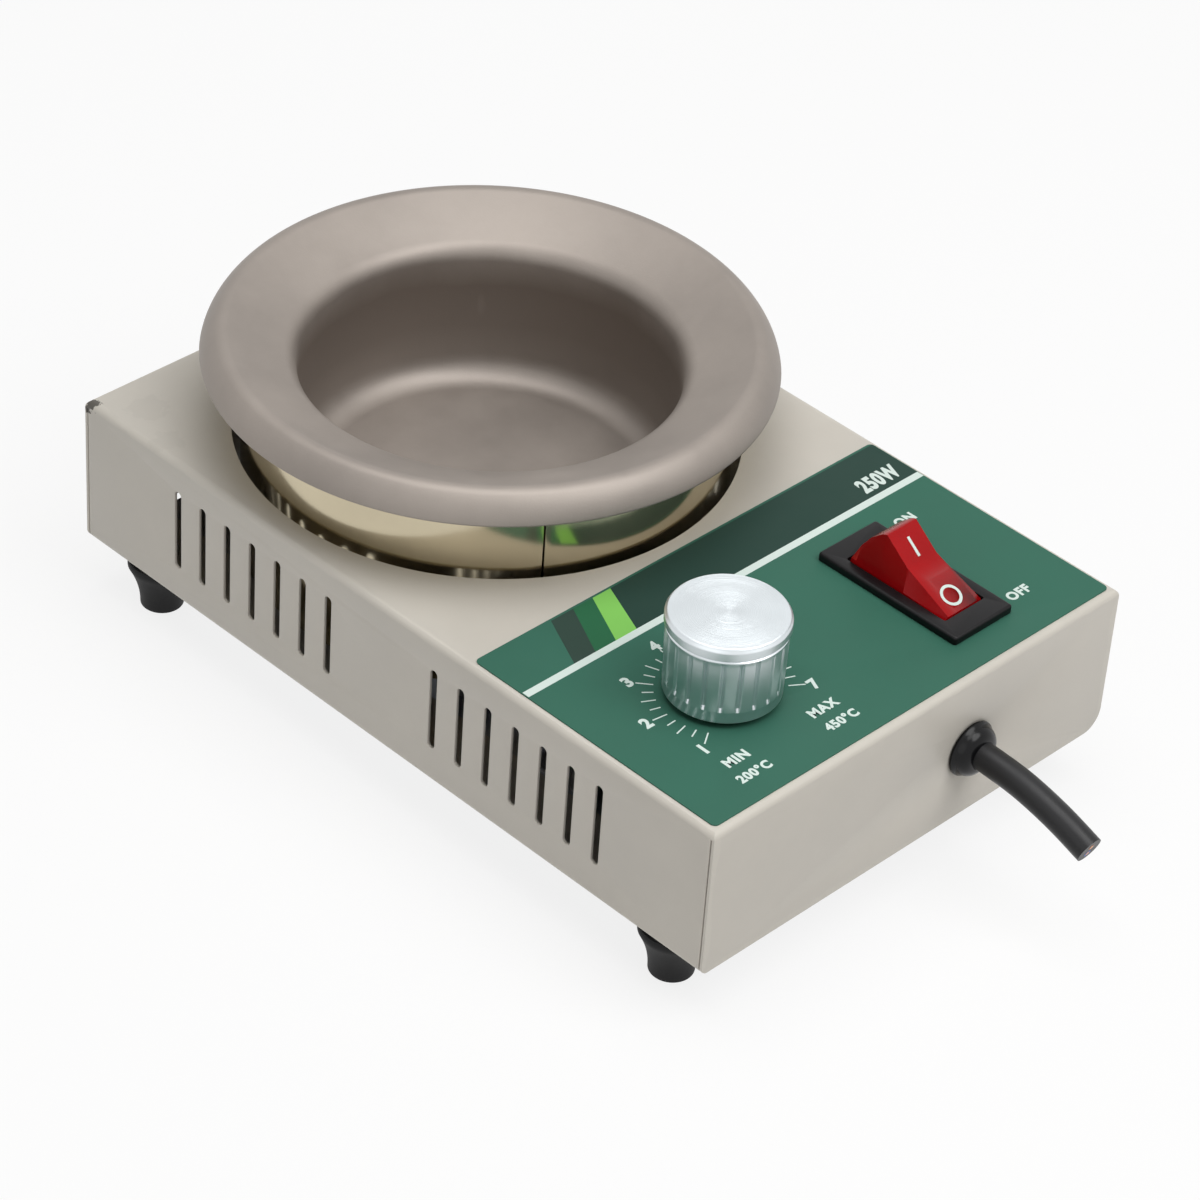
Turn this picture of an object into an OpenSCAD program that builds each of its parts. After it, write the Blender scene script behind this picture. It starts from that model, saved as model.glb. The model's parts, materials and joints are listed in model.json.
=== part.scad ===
// Solder pot: a small round solder bath in a folded steel case, with a heat dial and a rocker switch.
// Millimetres. The origin is on the floor under the middle of the case; the front is at -Y, up is +Z.

/* [Case] */
// Width of the case, left to right
case_w = 100; // [98:1:110]
// Length of the case, front to back
case_l = 157; // [156:1:170]
// Height of the folded cover
case_h = 30; // [30:1:36]
// Thickness of the cover's steel sheet
sheet_t = 1; // [0.8:0.1:1.2]
// Outside radius of the cover's bends
bend_r = 1.4; // [1.3:0.1:2]
// Width of the lip folded in along each long side
lip_w = 15.5; // [14:0.5:17]
// Thickness of the base plate
base_t = 1; // [0.8:0.1:1.5]
// How far the base plate's edge lies inside the cover's
base_inset = 2; // [1.5:0.1:3]
// Slit left between two flanges at a corner
seam_gap = 0.25; // [0.15:0.05:0.4]
// Radius of the worn corner at the front flange's lower right
worn_r = 4; // [2:0.5:5]

/* [Vent slots] */
// Slots in each group; each long side has two groups
slot_count = 7; // [4:1:8]
// Distance between neighbouring slots
slot_pitch = 6.6; // [5:0.1:7]
// Distance between the two groups' inner slots
slot_group_gap = 26.6; // [20:0.2:30]
// Width of a slot
slot_w = 1.7; // [1.2:0.1:3]
// Length of a slot
slot_l = 16.6; // [10:0.2:18]
// Height of a slot's low end above the cover's lower edge
slot_rise = 7.3; // [5:0.1:9]

/* [Pot] */
// Outer diameter of the pot's lip
rim_d = 102.6; // [96:0.2:103]
// Inner diameter of the pot
mouth_d = 68.4; // [60:0.2:69]
// Height of the lip's edge above the case
lip_rise = 15; // [13:0.5:20]
// Depth from the lip's edge to the pot's floor
pot_depth = 27.6; // [24:0.2:28]
// Thickness of the pot's sheet
pot_t = 1.2; // [0.8:0.1:1.4]
// Slope of the funnel between mouth and brow, in degrees
funnel_slope = 24; // [18:1:28]
// Radius of the turned-down skirt
skirt_r = 7.5; // [6:0.5:9]
// Radius of the brow, the rim's highest bend
brow_r = 2.5; // [2:0.1:3]
// Radius between funnel and wall
mouth_r = 4; // [3:0.5:5]
// Radius between wall and floor
fillet_r = 5; // [3:0.5:7]
// Distance from the case's middle back to the pot's axis
pot_back = 27; // [26:0.5:27.5]
// Diameter of the opening in the cover
hole_d = 91.1; // [90:0.1:92]

/* [Pot support] */
// Outer diameter of the polished shell round the pot
shell_d = 87.8; // [87:0.1:88.4]
// Thickness of the shell's strip
shell_t = 0.5; // [0.4:0.1:0.8]
// Height of the shell's lower edge above the cover's lower edge
shell_rise = 6; // [5:0.5:8]
// Direction of the shell's seam, in degrees from +X
shell_seam = -121; // [-150:1:-90]
// Thickness of the heater band
band_t = 2.2; // [1.5:0.1:2.5]
// Height of the heater band
band_h = 18; // [12:1:18]
// Thickness of the insulating pad under the pot
pad_t = 4; // [3:0.5:6]
// Thickness of the carrier pan
pan_t = 1; // [0.8:0.1:1.5]
// Distance from the pot's axis to each pillar
pillar_out = 37.5; // [36.5:0.5:38]
// Diameter of a pillar
pillar_d = 7; // [6:0.5:7]

/* [Knob] */
// Distance from the case's middle left to the dial's axis
dial_left = 23; // [20:0.5:24]
// Distance from the front face back to the dial's axis
dial_back = 24.8; // [22:0.2:26]
// Diameter of the knob's top
knob_d = 21.2; // [19:0.1:22]
// Diameter of the knob's foot
knob_foot_d = 20.1; // [18.5:0.1:21]
// Height of the knob
knob_h = 15.7; // [14.5:0.1:18]
// Gap under the knob
knob_gap = 1; // [0.5:0.1:1.2]
// Grooves round the knob
flute_count = 22; // [16:1:28]
// Width of a groove
flute_w = 0.8; // [0.5:0.1:1.2]
// Depth of a groove
flute_depth = 0.45; // [0.3:0.05:0.6]
// Diameter of the dial's shaft
shaft_d = 6; // [5:0.5:6.5]

/* [Switch] */
// Distance from the case's middle right to the switch
switch_right = 23.1; // [21:0.1:25]
// Distance from the front face back to the switch's middle
switch_back = 23.6; // [22:0.1:26]
// Width of the switch's bezel
bezel_w = 14.7; // [14.5:0.1:16]
// Length of the switch's bezel
bezel_l = 31.8; // [31:0.1:33]
// Thickness of the bezel
bezel_t = 1.6; // [1.2:0.1:2]
// Width of the rocker
rocker_w = 9.5; // [8.5:0.1:9.8]
// Radius of the rocker's ends about its pivot
rocker_reach = 11.1; // [10.5:0.1:11.2]
// Slope of each half of the rocker's top, and its tilt to either side
rocker_tilt = 12; // [9:1:13]
// Height of the rocker's low middle over its pivot
rocker_crown = 3; // [2.6:0.1:3.4]

/* [Feet and cord] */
// Height of a rubber foot
foot_h = 10; // [8:0.5:14]
// Diameter of a foot at its top
foot_top_d = 12.5; // [11:0.5:14]
// Diameter of a foot at the floor
foot_low_d = 8; // [7.8:0.2:9]
// Distance from a foot's axis to the case's side
foot_side = 7; // [6.5:0.1:8]
// Distance from a foot's axis to the case's end
foot_end = 12.8; // [11:0.2:15]
// Distance from the case's middle right to the cord's bushing
bushing_right = 13.3; // [10:0.1:15]
// Height of the bushing above the cover's lower edge
bushing_rise = 14.5; // [12:0.5:16]
// Diameter of the bushing's head
bushing_d = 10.5; // [9.5:0.1:12]
// Diameter of the cord
cord_d = 5.2; // [4.8:0.1:5.6]

/* [Hidden] */
$fn = 96;

// Gap between a piece and the hole it passes through, on each side
pass_gap = 0.2;
// Gap of a turning fit, on each side
turn_gap = 0.05;
// Gap between pieces that seat without touching
seat_gap = 0.1;
// Extra depth that carries a cut past a face
past = 1;

// Heights of the case's faces over the floor
case_z = foot_h + base_t;
top_z = case_z + case_h;
under_top = top_z - sheet_t;
front_y = -case_l / 2;

// Screws of thread size 3 throughout
screw_d = 3;
screw_hole = screw_d + 2 * pass_gap;
head_d = 5.4;
head_h = 1.8;
nut_flats = 5.5;
nut_h = 2.4;

// The feet's rounded edge at the floor, upper rim and the depth at which the screw's head sits
foot_round = 0.4;
foot_rim = 1.2;
foot_bore_h = 5;

// The pot's levels and radii
lip_z = top_z + lip_rise;
lip_r = rim_d / 2;
wall_r = mouth_d / 2;
floor_z = lip_z - pot_depth;
pot_under = floor_z - pot_t;
skirt_low = 8;
skirt_high = 50;
pot_at = [0, pot_back, 0];

// The stack that carries the pot
pan_top = pot_under - pad_t;
pan_under = pan_top - pan_t;
shell_low = case_z + shell_rise;
shell_in = shell_d / 2 - shell_t;
pillar_angles = [225, 315, 90];
stud_out = 16;
stud_d = 4;
stud_nut_flats = 7;
stud_nut_h = 3.2;
band_low = floor_z + fillet_r + 1;
band_in = wall_r + pot_t + seat_gap;
band_out = band_in + band_t;
ear_t = 1.2;
ear_gap = 3;
ear_reach = shell_in - band_out - 1;
ear_screw_y = band_out + ear_reach / 2 + 0.2;
ear_screw_d = 2.5;

// The panel overlay
panel_t = 0.25;
panel_l = 55.8;
panel_margin = bend_r;
panel_top = top_z + panel_t;

// The dial and what turns with it
dial_at = [-dial_left, front_y + dial_back, 0];
knob_z = panel_top + knob_gap;
knob_wall_r = 8;
knob_hollow = knob_h - 3;
dial_bush_d = 7;
dial_bush_h = 3.4;
dial_body_d = 16.5;
dial_body_h = 8.5;
dial_nut_flats = 10;
dial_nut_h = 2;
dial_washer_t = 0.5;
dial_washer_d = 11.5;
insert_low = under_top + sheet_t + dial_bush_h + 0.8;
shaft_low = under_top - dial_body_h + 2;

// The switch and its rocker
switch_at = [switch_right, front_y + switch_back, 0];
switch_body_w = 12.2;
switch_body_l = 27.8;
switch_body_h = 18;
well_w = rocker_w + 0.5;
well_l = 2 * (rocker_reach + 0.3);
well_depth = 9.4;
rocker_wall = 1;
rocker_skirt = 3;
bezel_top = panel_top + bezel_t;
pivot_z = bezel_top - 0.2 - rocker_crown * cos(rocker_tilt);
trunnion_d = 2.4;
blade_l = 7;
blade_pitch = 8;

// The electronics
board_w = 42;
board_l = 44;
board_t = 1.6;
board_at = [-12.5, -50.5, 0];
board_z = case_z + 5;
board_top = board_z + board_t;
heat_sink_x = 2;
heat_sink_t = 1.5;
heat_sink_l = 24;
baffle_y = pot_back - shell_d / 2 - 3.5;
baffle_t = 0.8;
baffle_w = case_w - 2 * lip_w - 2;
baffle_foot = 8;
baffle_screw_x = 26;
block_w = 12;
block_l = 9;
block_at = [18, baffle_y - baffle_foot - block_l - 0.5, case_z];
block_pitch = 5.6;
block_wire_z = 5;

// The bushing and the cord's route from inside the bushing to the cut end
bushing_at = [bushing_right, front_y, case_z + bushing_rise];
bushing_neck_d = 8;
bushing_head_h = 3.2;
bushing_tail = 8;
cord_route = [
    [0, 8, 0], [0, 2, 0], [0, -4, 0], [0, -12, -0.6], [0, -20, -2.4], [0, -27.5, -5]
];
cord_tail_l = 5;
lead_d = 2;
heater_lead_x = 6;
heater_lead_out = band_out + 0.8;

// ---- shared shapes -------------------------------------------------------------------------------

// Points along an arc round c, from angle a to angle b
function arc(c, r, a, b, n = 8) =
    [for (i = [0:n]) let (t = a + (b - a) * i / n) c + r * [cos(t), sin(t)]];

function reversed(v) = [for (i = [len(v) - 1:-1:0]) v[i]];

function unit(v) = v / norm(v);

// A smooth curve through four neighbouring points
function between(a, b, c, d, t) =
    0.5 * (2 * b + (c - a) * t + (2 * a - 5 * b + 4 * c - d) * t * t
        + (3 * b - a - 3 * c + d) * t * t * t);

function smooth(p, n) = concat(
    [for (i = [0:len(p) - 2]) for (k = [0:n - 1])
        between(p[max(i - 1, 0)], p[i], p[i + 1], p[min(i + 2, len(p) - 1)], k / n)],
    [p[len(p) - 1]]
);

// A plain tube of diameter d swept along a route that never runs along ref
module tube(route, d, sides, n, ref = [0, 0, 1]) {
    line = smooth(route, n);
    last = len(line) - 1;
    rings = [for (i = [0:last]) let (
        ahead = unit(line[min(i + 1, last)] - line[max(i - 1, 0)]),
        side = unit(cross(ahead, ref)),
        up = cross(side, ahead)
    ) [for (k = [0:sides - 1]) let (a = 360 * k / sides)
        line[i] + d / 2 * (cos(a) * side + sin(a) * up)]];
    points = [for (ring = rings) for (p = ring) p];
    skin = [for (i = [0:last - 1]) for (k = [0:sides - 1]) let (m = (k + 1) % sides) [
        i * sides + k, (i + 1) * sides + k, (i + 1) * sides + m, i * sides + m
    ]];
    start = [for (k = [0:sides - 1]) k];
    finish = [for (k = [sides - 1:-1:0]) last * sides + k];
    polyhedron(points = points, faces = concat(skin, [start, finish]));
}

// A rectangle centred on the origin with rounded corners
module round_plate(w, l, r) {
    square([w - 2 * r, l], center = true);
    square([w, l - 2 * r], center = true);
    for (x = [-1, 1], y = [-1, 1])
        translate([x * (w / 2 - r), y * (l / 2 - r)]) circle(r = r, $fn = 32);
}

// A slot with round ends that starts at the origin and runs along +Y
module slot_shape(w, l) {
    translate([-w / 2, w / 2]) square([w, l - w]);
    for (y = [w / 2, l - w / 2]) translate([0, y]) circle(d = w, $fn = 32);
}

module screw_hole(at, d = screw_hole) {
    translate([at[0], at[1], -past]) cylinder(d = d, h = top_z, $fn = 32);
}

// A pan-head screw that points up, with its head's lower face at z = 0
module screw_up(l, d = screw_d, head = head_d, cap = head_h) {
    cylinder(d1 = head - 1, d2 = head, h = cap / 3, $fn = 32);
    translate([0, 0, cap / 3]) cylinder(d = head, h = cap - cap / 3, $fn = 32);
    translate([0, 0, cap]) cylinder(d = d, h = l, $fn = 32);
}

module hex_nut(flats, h, bore) {
    difference() {
        cylinder(d = flats / cos(30), h = h, $fn = 6);
        translate([0, 0, -past]) cylinder(d = bore, h = h + 2 * past, $fn = 32);
    }
}

// The outline of a box with bent upper edges; low rounds its lower corners too
module bent_outline(w, h, r, low = 0) {
    translate([-w / 2, low]) square([w, h - r - low]);
    translate([-w / 2 + r, h - 2 * r]) square([w - 2 * r, 2 * r]);
    for (s = [-1, 1]) translate([s * (w / 2 - r), h - r]) circle(r = r, $fn = 32);
    if (low > 0) {
        translate([-w / 2 + low, 0]) square([w - 2 * low, 2 * low]);
        for (s = [-1, 1]) translate([s * (w / 2 - low), low]) circle(r = low, $fn = 32);
    }
}

module feet_places() {
    for (x = [-1, 1], y = [-1, 1])
        translate([x * (case_w / 2 - foot_side), y * (case_l / 2 - foot_end), 0]) children();
}

module pillar_places() {
    for (a = pillar_angles)
        translate(pot_at + pillar_out * [cos(a), sin(a), 0]) children();
}

module stud_places() {
    for (s = [-1, 1]) translate(pot_at + [s * stud_out, 0, 0]) children();
}

module baffle_places() {
    for (s = [-1, 1]) translate([s * baffle_screw_x, baffle_y - baffle_foot / 2, 0]) children();
}

module board_places() {
    for (x = [-1, 1], y = [-1, 1])
        translate(board_at + [x * (board_w / 2 - 3), y * (board_l / 2 - 3), 0]) children();
}

// ---- case ----------------------------------------------------------------------------------------

// The cover's block, inset all round: the bends of the long sides cross those of the ends
module cover_block(inset) {
    r = max(bend_r - inset, 0.2);
    intersection() {
        translate([0, case_l / 2 - inset, case_z + inset])
            rotate([90, 0, 0]) linear_extrude(case_l - 2 * inset)
                bent_outline(case_w - 2 * inset, case_h - 2 * inset, r, r);
        translate([-case_w / 2 + inset, 0, case_z - past])
            rotate([90, 0, 90]) linear_extrude(case_w - 2 * inset)
                bent_outline(case_l - 2 * inset, case_h - inset + past, r);
    }
}

module side_slots() {
    for (side = [-1, 1], group = [-1, 1], k = [0:slot_count - 1])
        translate([side * case_w / 2, group * (slot_group_gap / 2 + k * slot_pitch), case_z + slot_rise])
            rotate([90, 0, 90]) translate([0, 0, -2 * sheet_t])
                linear_extrude(4 * sheet_t) slot_shape(slot_w, slot_l);
}

// Slits that part the end flanges from the side flanges and their lips
module corner_slits() {
    for (x = [-1, 1], y = [-1, 1]) {
        side = case_w / 2 - lip_w / 2;
        translate([x * side, y * (case_l / 2 - sheet_t - seam_gap / 2), case_z - past + (case_h - bend_r + past) / 2])
            cube([lip_w + 2 * past, seam_gap, case_h - bend_r + past], center = true);
    }
}

// What is missing where a lower corner is worn round; the corner lies on the X axis
module worn_corner(l) {
    difference() {
        translate([0, -past, -past]) cube([l, worn_r + past, worn_r + past]);
        translate([-past, worn_r, worn_r]) rotate([0, 90, 0]) cylinder(r = worn_r, h = l + 2 * past, $fn = 48);
    }
}

module switch_cutout() {
    translate([switch_at[0], switch_at[1], top_z - 2 * sheet_t])
        linear_extrude(4 * sheet_t)
            square([switch_body_w + 2 * pass_gap, switch_body_l + 2 * pass_gap], center = true);
}

module cover() {
    lip_in = case_w / 2 - lip_w;
    color([0.74, 0.72, 0.67]) difference() {
        cover_block(0);
        cover_block(sheet_t);
        translate([-lip_in, -case_l / 2 + sheet_t, case_z - past])
            cube([2 * lip_in, case_l - 2 * sheet_t, sheet_t + 2 * past]);
        corner_slits();
        side_slots();
        translate(pot_at + [0, 0, under_top - past]) cylinder(d = hole_d, h = sheet_t + 2 * past, $fn = 128);
        switch_cutout();
        translate(dial_at + [0, 0, under_top - past])
            cylinder(d = dial_bush_d + 2 * pass_gap, h = sheet_t + 2 * past, $fn = 32);
        translate(bushing_at + [0, sheet_t + past, 0])
            rotate([90, 0, 0]) cylinder(d = bushing_neck_d + 2 * pass_gap, h = sheet_t + 2 * past, $fn = 48);
        feet_places() translate([0, 0, case_z - past]) cylinder(d = screw_hole, h = sheet_t + 2 * past, $fn = 32);
        translate([case_w / 2, front_y, case_z])
            rotate([0, 0, 90]) worn_corner(sheet_t + seam_gap);
        translate([case_w / 2, front_y, case_z])
            mirror([1, 0, 0]) worn_corner(2 * sheet_t);
    }
}

module base_plate() {
    color([0.55, 0.56, 0.57]) difference() {
        translate([0, 0, foot_h]) linear_extrude(base_t) round_plate(case_w - 2 * base_inset, case_l - 2 * base_inset, 2);
        for (x = [-2:2])
            translate([x * 9, pot_back - 20, foot_h - past]) linear_extrude(base_t + 2 * past) slot_shape(3, 40);
        feet_places() screw_hole([0, 0]);
        pillar_places() screw_hole([0, 0]);
        board_places() screw_hole([0, 0]);
        baffle_places() screw_hole([0, 0]);
    }
}

module panel() {
    color([0.22, 0.43, 0.36]) difference() {
        translate([0, front_y + panel_margin + panel_l / 2, top_z])
            linear_extrude(panel_t) round_plate(case_w - 2 * panel_margin, panel_l, 1);
        switch_cutout();
        translate(dial_at + [0, 0, top_z - past]) cylinder(d = dial_washer_d + 1, h = 3, $fn = 48);
    }
}

module foot() {
    flare = (foot_top_d - foot_low_d) / 2;
    body_h = foot_h - foot_rim;
    color([0.09, 0.09, 0.1]) difference() {
        rotate_extrude() polygon(concat(
            [[0, 0]],
            arc([foot_low_d / 2 - foot_round, foot_round], foot_round, -90, 0, 4),
            [for (t = [0.25:0.25:1]) [foot_low_d / 2 + flare * t * t, foot_round + (body_h - foot_round) * t]],
            [[foot_top_d / 2, foot_h], [0, foot_h]]
        ));
        translate([0, 0, -past]) cylinder(d = head_d + 2 * pass_gap, h = past + foot_bore_h, $fn = 32);
        translate([0, 0, -past]) cylinder(d = screw_hole, h = foot_h + 2 * past, $fn = 32);
    }
}

module foot_at(x, y) {
    translate([x * (case_w / 2 - foot_side), y * (case_l / 2 - foot_end), 0]) foot();
}

module foot_screws() {
    l = foot_h - foot_bore_h + base_t + sheet_t + nut_h + 1;
    color([0.7, 0.7, 0.72]) feet_places() translate([0, 0, foot_bore_h - head_h]) screw_up(l);
}

module foot_nuts() {
    color([0.7, 0.7, 0.72]) feet_places() translate([0, 0, case_z + sheet_t])
        hex_nut(nut_flats, nut_h, screw_d + 2 * turn_gap);
}

// ---- pot and its support -------------------------------------------------------------------------

// The pot's section from the lip's edge to its axis, moved in by o from the outer face
function pot_line(o) =
    let (
        skirt_c = [lip_r - skirt_r * cos(skirt_low), lip_z - skirt_r * sin(skirt_low)],
        brow_c = skirt_c + (skirt_r - brow_r) * [cos(skirt_high), sin(skirt_high)],
        brow_end = brow_c + brow_r * [-sin(funnel_slope), cos(funnel_slope)],
        mouth_x = wall_r + mouth_r * (1 - sin(funnel_slope)),
        mouth_z = brow_end[1] - (brow_end[0] - mouth_x) * tan(funnel_slope),
        mouth_c = [wall_r + mouth_r, mouth_z - mouth_r * cos(funnel_slope)],
        fillet_c = [wall_r - fillet_r, floor_z + fillet_r]
    )
    concat(
        arc(skirt_c, skirt_r - o, skirt_low, skirt_high, 8),
        arc(brow_c, brow_r - o, skirt_high, 90 + funnel_slope, 8),
        arc(mouth_c, mouth_r - o, 90 + funnel_slope, 180, 8),
        arc(fillet_c, fillet_r + o, 0, -90, 8),
        [[0, floor_z - o]]
    );

module pot() {
    color([0.62, 0.6, 0.58]) translate(pot_at)
        rotate_extrude($fn = 128) polygon(concat(pot_line(0), reversed(pot_line(pot_t))));
}

module pot_studs() {
    l = pad_t + pan_t + stud_nut_h + 1;
    color([0.7, 0.7, 0.72]) stud_places() translate([0, 0, pot_under - l]) cylinder(d = stud_d, h = l, $fn = 32);
}

module stud_nuts() {
    color([0.7, 0.7, 0.72]) stud_places() translate([0, 0, pan_under - stud_nut_h])
        hex_nut(stud_nut_flats, stud_nut_h, stud_d + 2 * turn_gap);
}

// The underside of the funnel over radius r, where the shell's upper edge stops
function funnel_under(r) =
    let (
        skirt_c = [lip_r - skirt_r * cos(skirt_low), lip_z - skirt_r * sin(skirt_low)],
        brow_c = skirt_c + (skirt_r - brow_r) * [cos(skirt_high), sin(skirt_high)],
        end = brow_c + (brow_r - pot_t) * [-sin(funnel_slope), cos(funnel_slope)]
    )
    end[1] - (end[0] - r) * tan(funnel_slope);

module shell() {
    h = funnel_under(shell_in) - seat_gap - shell_low;
    color([0.78, 0.76, 0.68]) translate(pot_at + [0, 0, shell_low]) difference() {
        cylinder(d = shell_d, h = h, $fn = 128);
        translate([0, 0, -past]) cylinder(r = shell_in, h = h + 2 * past, $fn = 128);
        rotate([0, 0, shell_seam]) translate([shell_in - past, -0.15, -past]) cube([3 * past, 0.3, h + 2 * past]);
    }
}

module carrier_pan() {
    r = shell_in - pass_gap;
    color([0.66, 0.66, 0.67]) difference() {
        translate(pot_at + [0, 0, shell_low]) cylinder(r = r, h = pan_top - shell_low);
        translate(pot_at + [0, 0, shell_low - past]) cylinder(r = r - pan_t, h = pan_under - shell_low + past);
        pillar_places() screw_hole([0, 0]);
        stud_places() screw_hole([0, 0], stud_d + 2 * pass_gap);
        for (s = [-1, 1]) screw_hole([s * heater_lead_x, pot_back - heater_lead_out], 2 * lead_d);
    }
}

module heater_band() {
    color([0.72, 0.7, 0.62]) translate(pot_at + [0, 0, band_low]) {
        difference() {
            cylinder(r = band_out, h = band_h);
            translate([0, 0, -past]) cylinder(r = band_in, h = band_h + 2 * past);
            translate([-ear_gap / 2, 0, -past]) cube([ear_gap, band_out + past, band_h + 2 * past]);
        }
        for (s = [-1, 1]) difference() {
            translate([s * (ear_gap + ear_t) / 2, band_out + ear_reach / 2 - 0.25, band_h / 2])
                cube([ear_t, ear_reach + 0.5, 10], center = true);
            translate([s * ear_gap, ear_screw_y, band_h / 2]) rotate([0, 90, 0])
                cylinder(d = ear_screw_d + 2 * pass_gap, h = 4 * ear_t, center = true, $fn = 32);
        }
    }
}

module band_screw() {
    head_w = min(4, 2 * (shell_in - ear_screw_y) - 2);
    color([0.7, 0.7, 0.72]) translate(pot_at + [ear_gap / 2 + ear_t, ear_screw_y, band_low + band_h / 2])
        rotate([0, 90, 180]) {
            translate([0, 0, -1.6]) cylinder(d = head_w, h = 1.6, $fn = 32);
            cylinder(d = ear_screw_d, h = ear_gap + 2 * ear_t + 3, $fn = 32);
        }
}

module insulating_pad() {
    color([0.9, 0.89, 0.85]) difference() {
        translate(pot_at + [0, 0, pan_top]) cylinder(r = wall_r - 2, h = pad_t);
        stud_places() screw_hole([0, 0], stud_d + 2 * pass_gap);
    }
}

module pillar(i) {
    a = pillar_angles[i];
    color([0.75, 0.75, 0.76]) translate(pot_at + pillar_out * [cos(a), sin(a), 0] + [0, 0, case_z]) difference() {
        cylinder(d = pillar_d, h = pan_under - case_z, $fn = 48);
        translate([0, 0, -past]) cylinder(d = screw_hole, h = pan_under - case_z + 2 * past, $fn = 32);
    }
}

module pillar_screws() {
    l = pan_top + nut_h + 0.8 - foot_h;
    color([0.7, 0.7, 0.72]) pillar_places() translate([0, 0, foot_h - head_h]) screw_up(l);
}

module pillar_nuts() {
    color([0.7, 0.7, 0.72]) pillar_places() translate([0, 0, pan_top]) hex_nut(nut_flats, nut_h, screw_d + 2 * turn_gap);
}

module heat_baffle() {
    h = under_top - case_z - 1;
    color([0.8, 0.81, 0.82]) difference() {
        union() {
            translate([-baffle_w / 2, baffle_y, case_z]) cube([baffle_w, baffle_t, h]);
            translate([-baffle_w / 2, baffle_y - baffle_foot, case_z])
                cube([baffle_w, baffle_foot + baffle_t, baffle_t]);
        }
        baffle_places() screw_hole([0, 0]);
        translate([0, baffle_y - past, case_z + 5])
            rotate([-90, 0, 0]) cylinder(d = 8, h = baffle_t + 2 * past, $fn = 32);
    }
}

module baffle_screws() {
    color([0.7, 0.7, 0.72]) baffle_places() {
        translate([0, 0, foot_h - head_h]) screw_up(base_t + baffle_t + nut_h + 0.8);
        translate([0, 0, case_z + baffle_t]) hex_nut(nut_flats, nut_h, screw_d + 2 * turn_gap);
    }
}

// ---- electronics ---------------------------------------------------------------------------------

module board() {
    color([0.1, 0.35, 0.2]) difference() {
        translate(board_at + [0, 0, board_z]) linear_extrude(board_t) square([board_w, board_l], center = true);
        board_places() screw_hole([0, 0]);
    }
}

module board_posts() {
    color([0.75, 0.75, 0.76]) board_places() translate([0, 0, case_z]) difference() {
        cylinder(d = 5.5, h = board_z - case_z, $fn = 32);
        translate([0, 0, -past]) cylinder(d = screw_hole, h = board_z, $fn = 32);
    }
}

module board_screws() {
    l = board_top - foot_h + nut_h + 0.8;
    color([0.7, 0.7, 0.72]) board_places() {
        translate([0, 0, foot_h - head_h]) screw_up(l);
        translate([0, 0, board_top]) hex_nut(nut_flats, nut_h, screw_d + 2 * turn_gap);
    }
}

module capacitor() {
    color([0.75, 0.15, 0.12]) translate(board_at + [-17, 8, board_top]) cube([13, 6, 8.5]);
}

module choke() {
    coil_d = 5.6;
    color([0.72, 0.45, 0.2]) translate(board_at + [4.5, 11, board_top + coil_d / 2])
        rotate_extrude() translate([4.2, 0]) circle(d = coil_d, $fn = 32);
}

module triac() {
    color([0.15, 0.15, 0.16]) translate([heat_sink_x - 3.2, board_at[1] - 9, board_top + 3]) {
        cube([3.2, 10, 9]);
        for (k = [-1:1]) translate([1.6, 5 + k * 2.5, -3]) cylinder(d = 0.8, h = 3.5, $fn = 16);
    }
}

module heat_sink() {
    h = 15;
    fin = 1.2;
    color([0.8, 0.81, 0.82]) translate([heat_sink_x, board_at[1] - heat_sink_l / 2, board_top]) {
        cube([heat_sink_t, heat_sink_l, h]);
        for (k = [0:4]) translate([0, k * (heat_sink_l - fin) / 4, 0]) cube([5.5, fin, h]);
    }
}

module resistors() {
    color([0.75, 0.65, 0.5]) for (k = [0:2])
        translate(board_at + [-8, -8 - k * 4, board_top + 1.25])
            rotate([0, 90, 0]) cylinder(d = 2.5, h = 7, $fn = 32);
}

module terminal_block() {
    color([0.88, 0.87, 0.83]) translate(block_at) difference() {
        cube([block_w, block_l, 9]);
        for (k = [-1, 1]) translate([(block_w + k * block_pitch) / 2, 0, block_wire_z]) {
            translate([0, -past, 0]) rotate([-90, 0, 0]) cylinder(d = 2.6, h = block_l + 2 * past, $fn = 32);
            translate([0, block_l / 2, 0]) cylinder(d = 2.4, h = 5, $fn = 32);
        }
    }
}

// ---- dial ----------------------------------------------------------------------------------------

module potentiometer() {
    color([0.7, 0.7, 0.72]) difference() {
        union() {
            translate(dial_at + [0, 0, under_top - dial_body_h]) cylinder(d = dial_body_d, h = dial_body_h);
            translate(dial_at + [0, 0, under_top - 0.5])
                cylinder(d = dial_bush_d, h = dial_bush_h + sheet_t + 0.5, $fn = 48);
            translate(dial_at + [-7, -dial_body_d / 2 - 4, under_top - dial_body_h]) cube([14, 8, 1.5]);
        }
        translate(dial_at + [0, 0, shaft_low - turn_gap])
            cylinder(d = shaft_d + 2 * turn_gap, h = 3 * dial_body_h, $fn = 48);
    }
}

module dial_washer() {
    color([0.75, 0.75, 0.76]) translate(dial_at + [0, 0, top_z]) difference() {
        cylinder(d = dial_washer_d, h = dial_washer_t, $fn = 48);
        translate([0, 0, -past]) cylinder(d = dial_bush_d + 2 * turn_gap, h = 3, $fn = 48);
    }
}

module dial_nut() {
    color([0.75, 0.75, 0.76]) translate(dial_at + [0, 0, top_z + dial_washer_t])
        hex_nut(dial_nut_flats, dial_nut_h, dial_bush_d + 2 * turn_gap);
}

module shaft() {
    color([0.8, 0.8, 0.8]) translate(dial_at + [0, 0, shaft_low])
        cylinder(d = shaft_d, h = knob_z + knob_hollow - 1 - shaft_low, $fn = 48);
}

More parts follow.
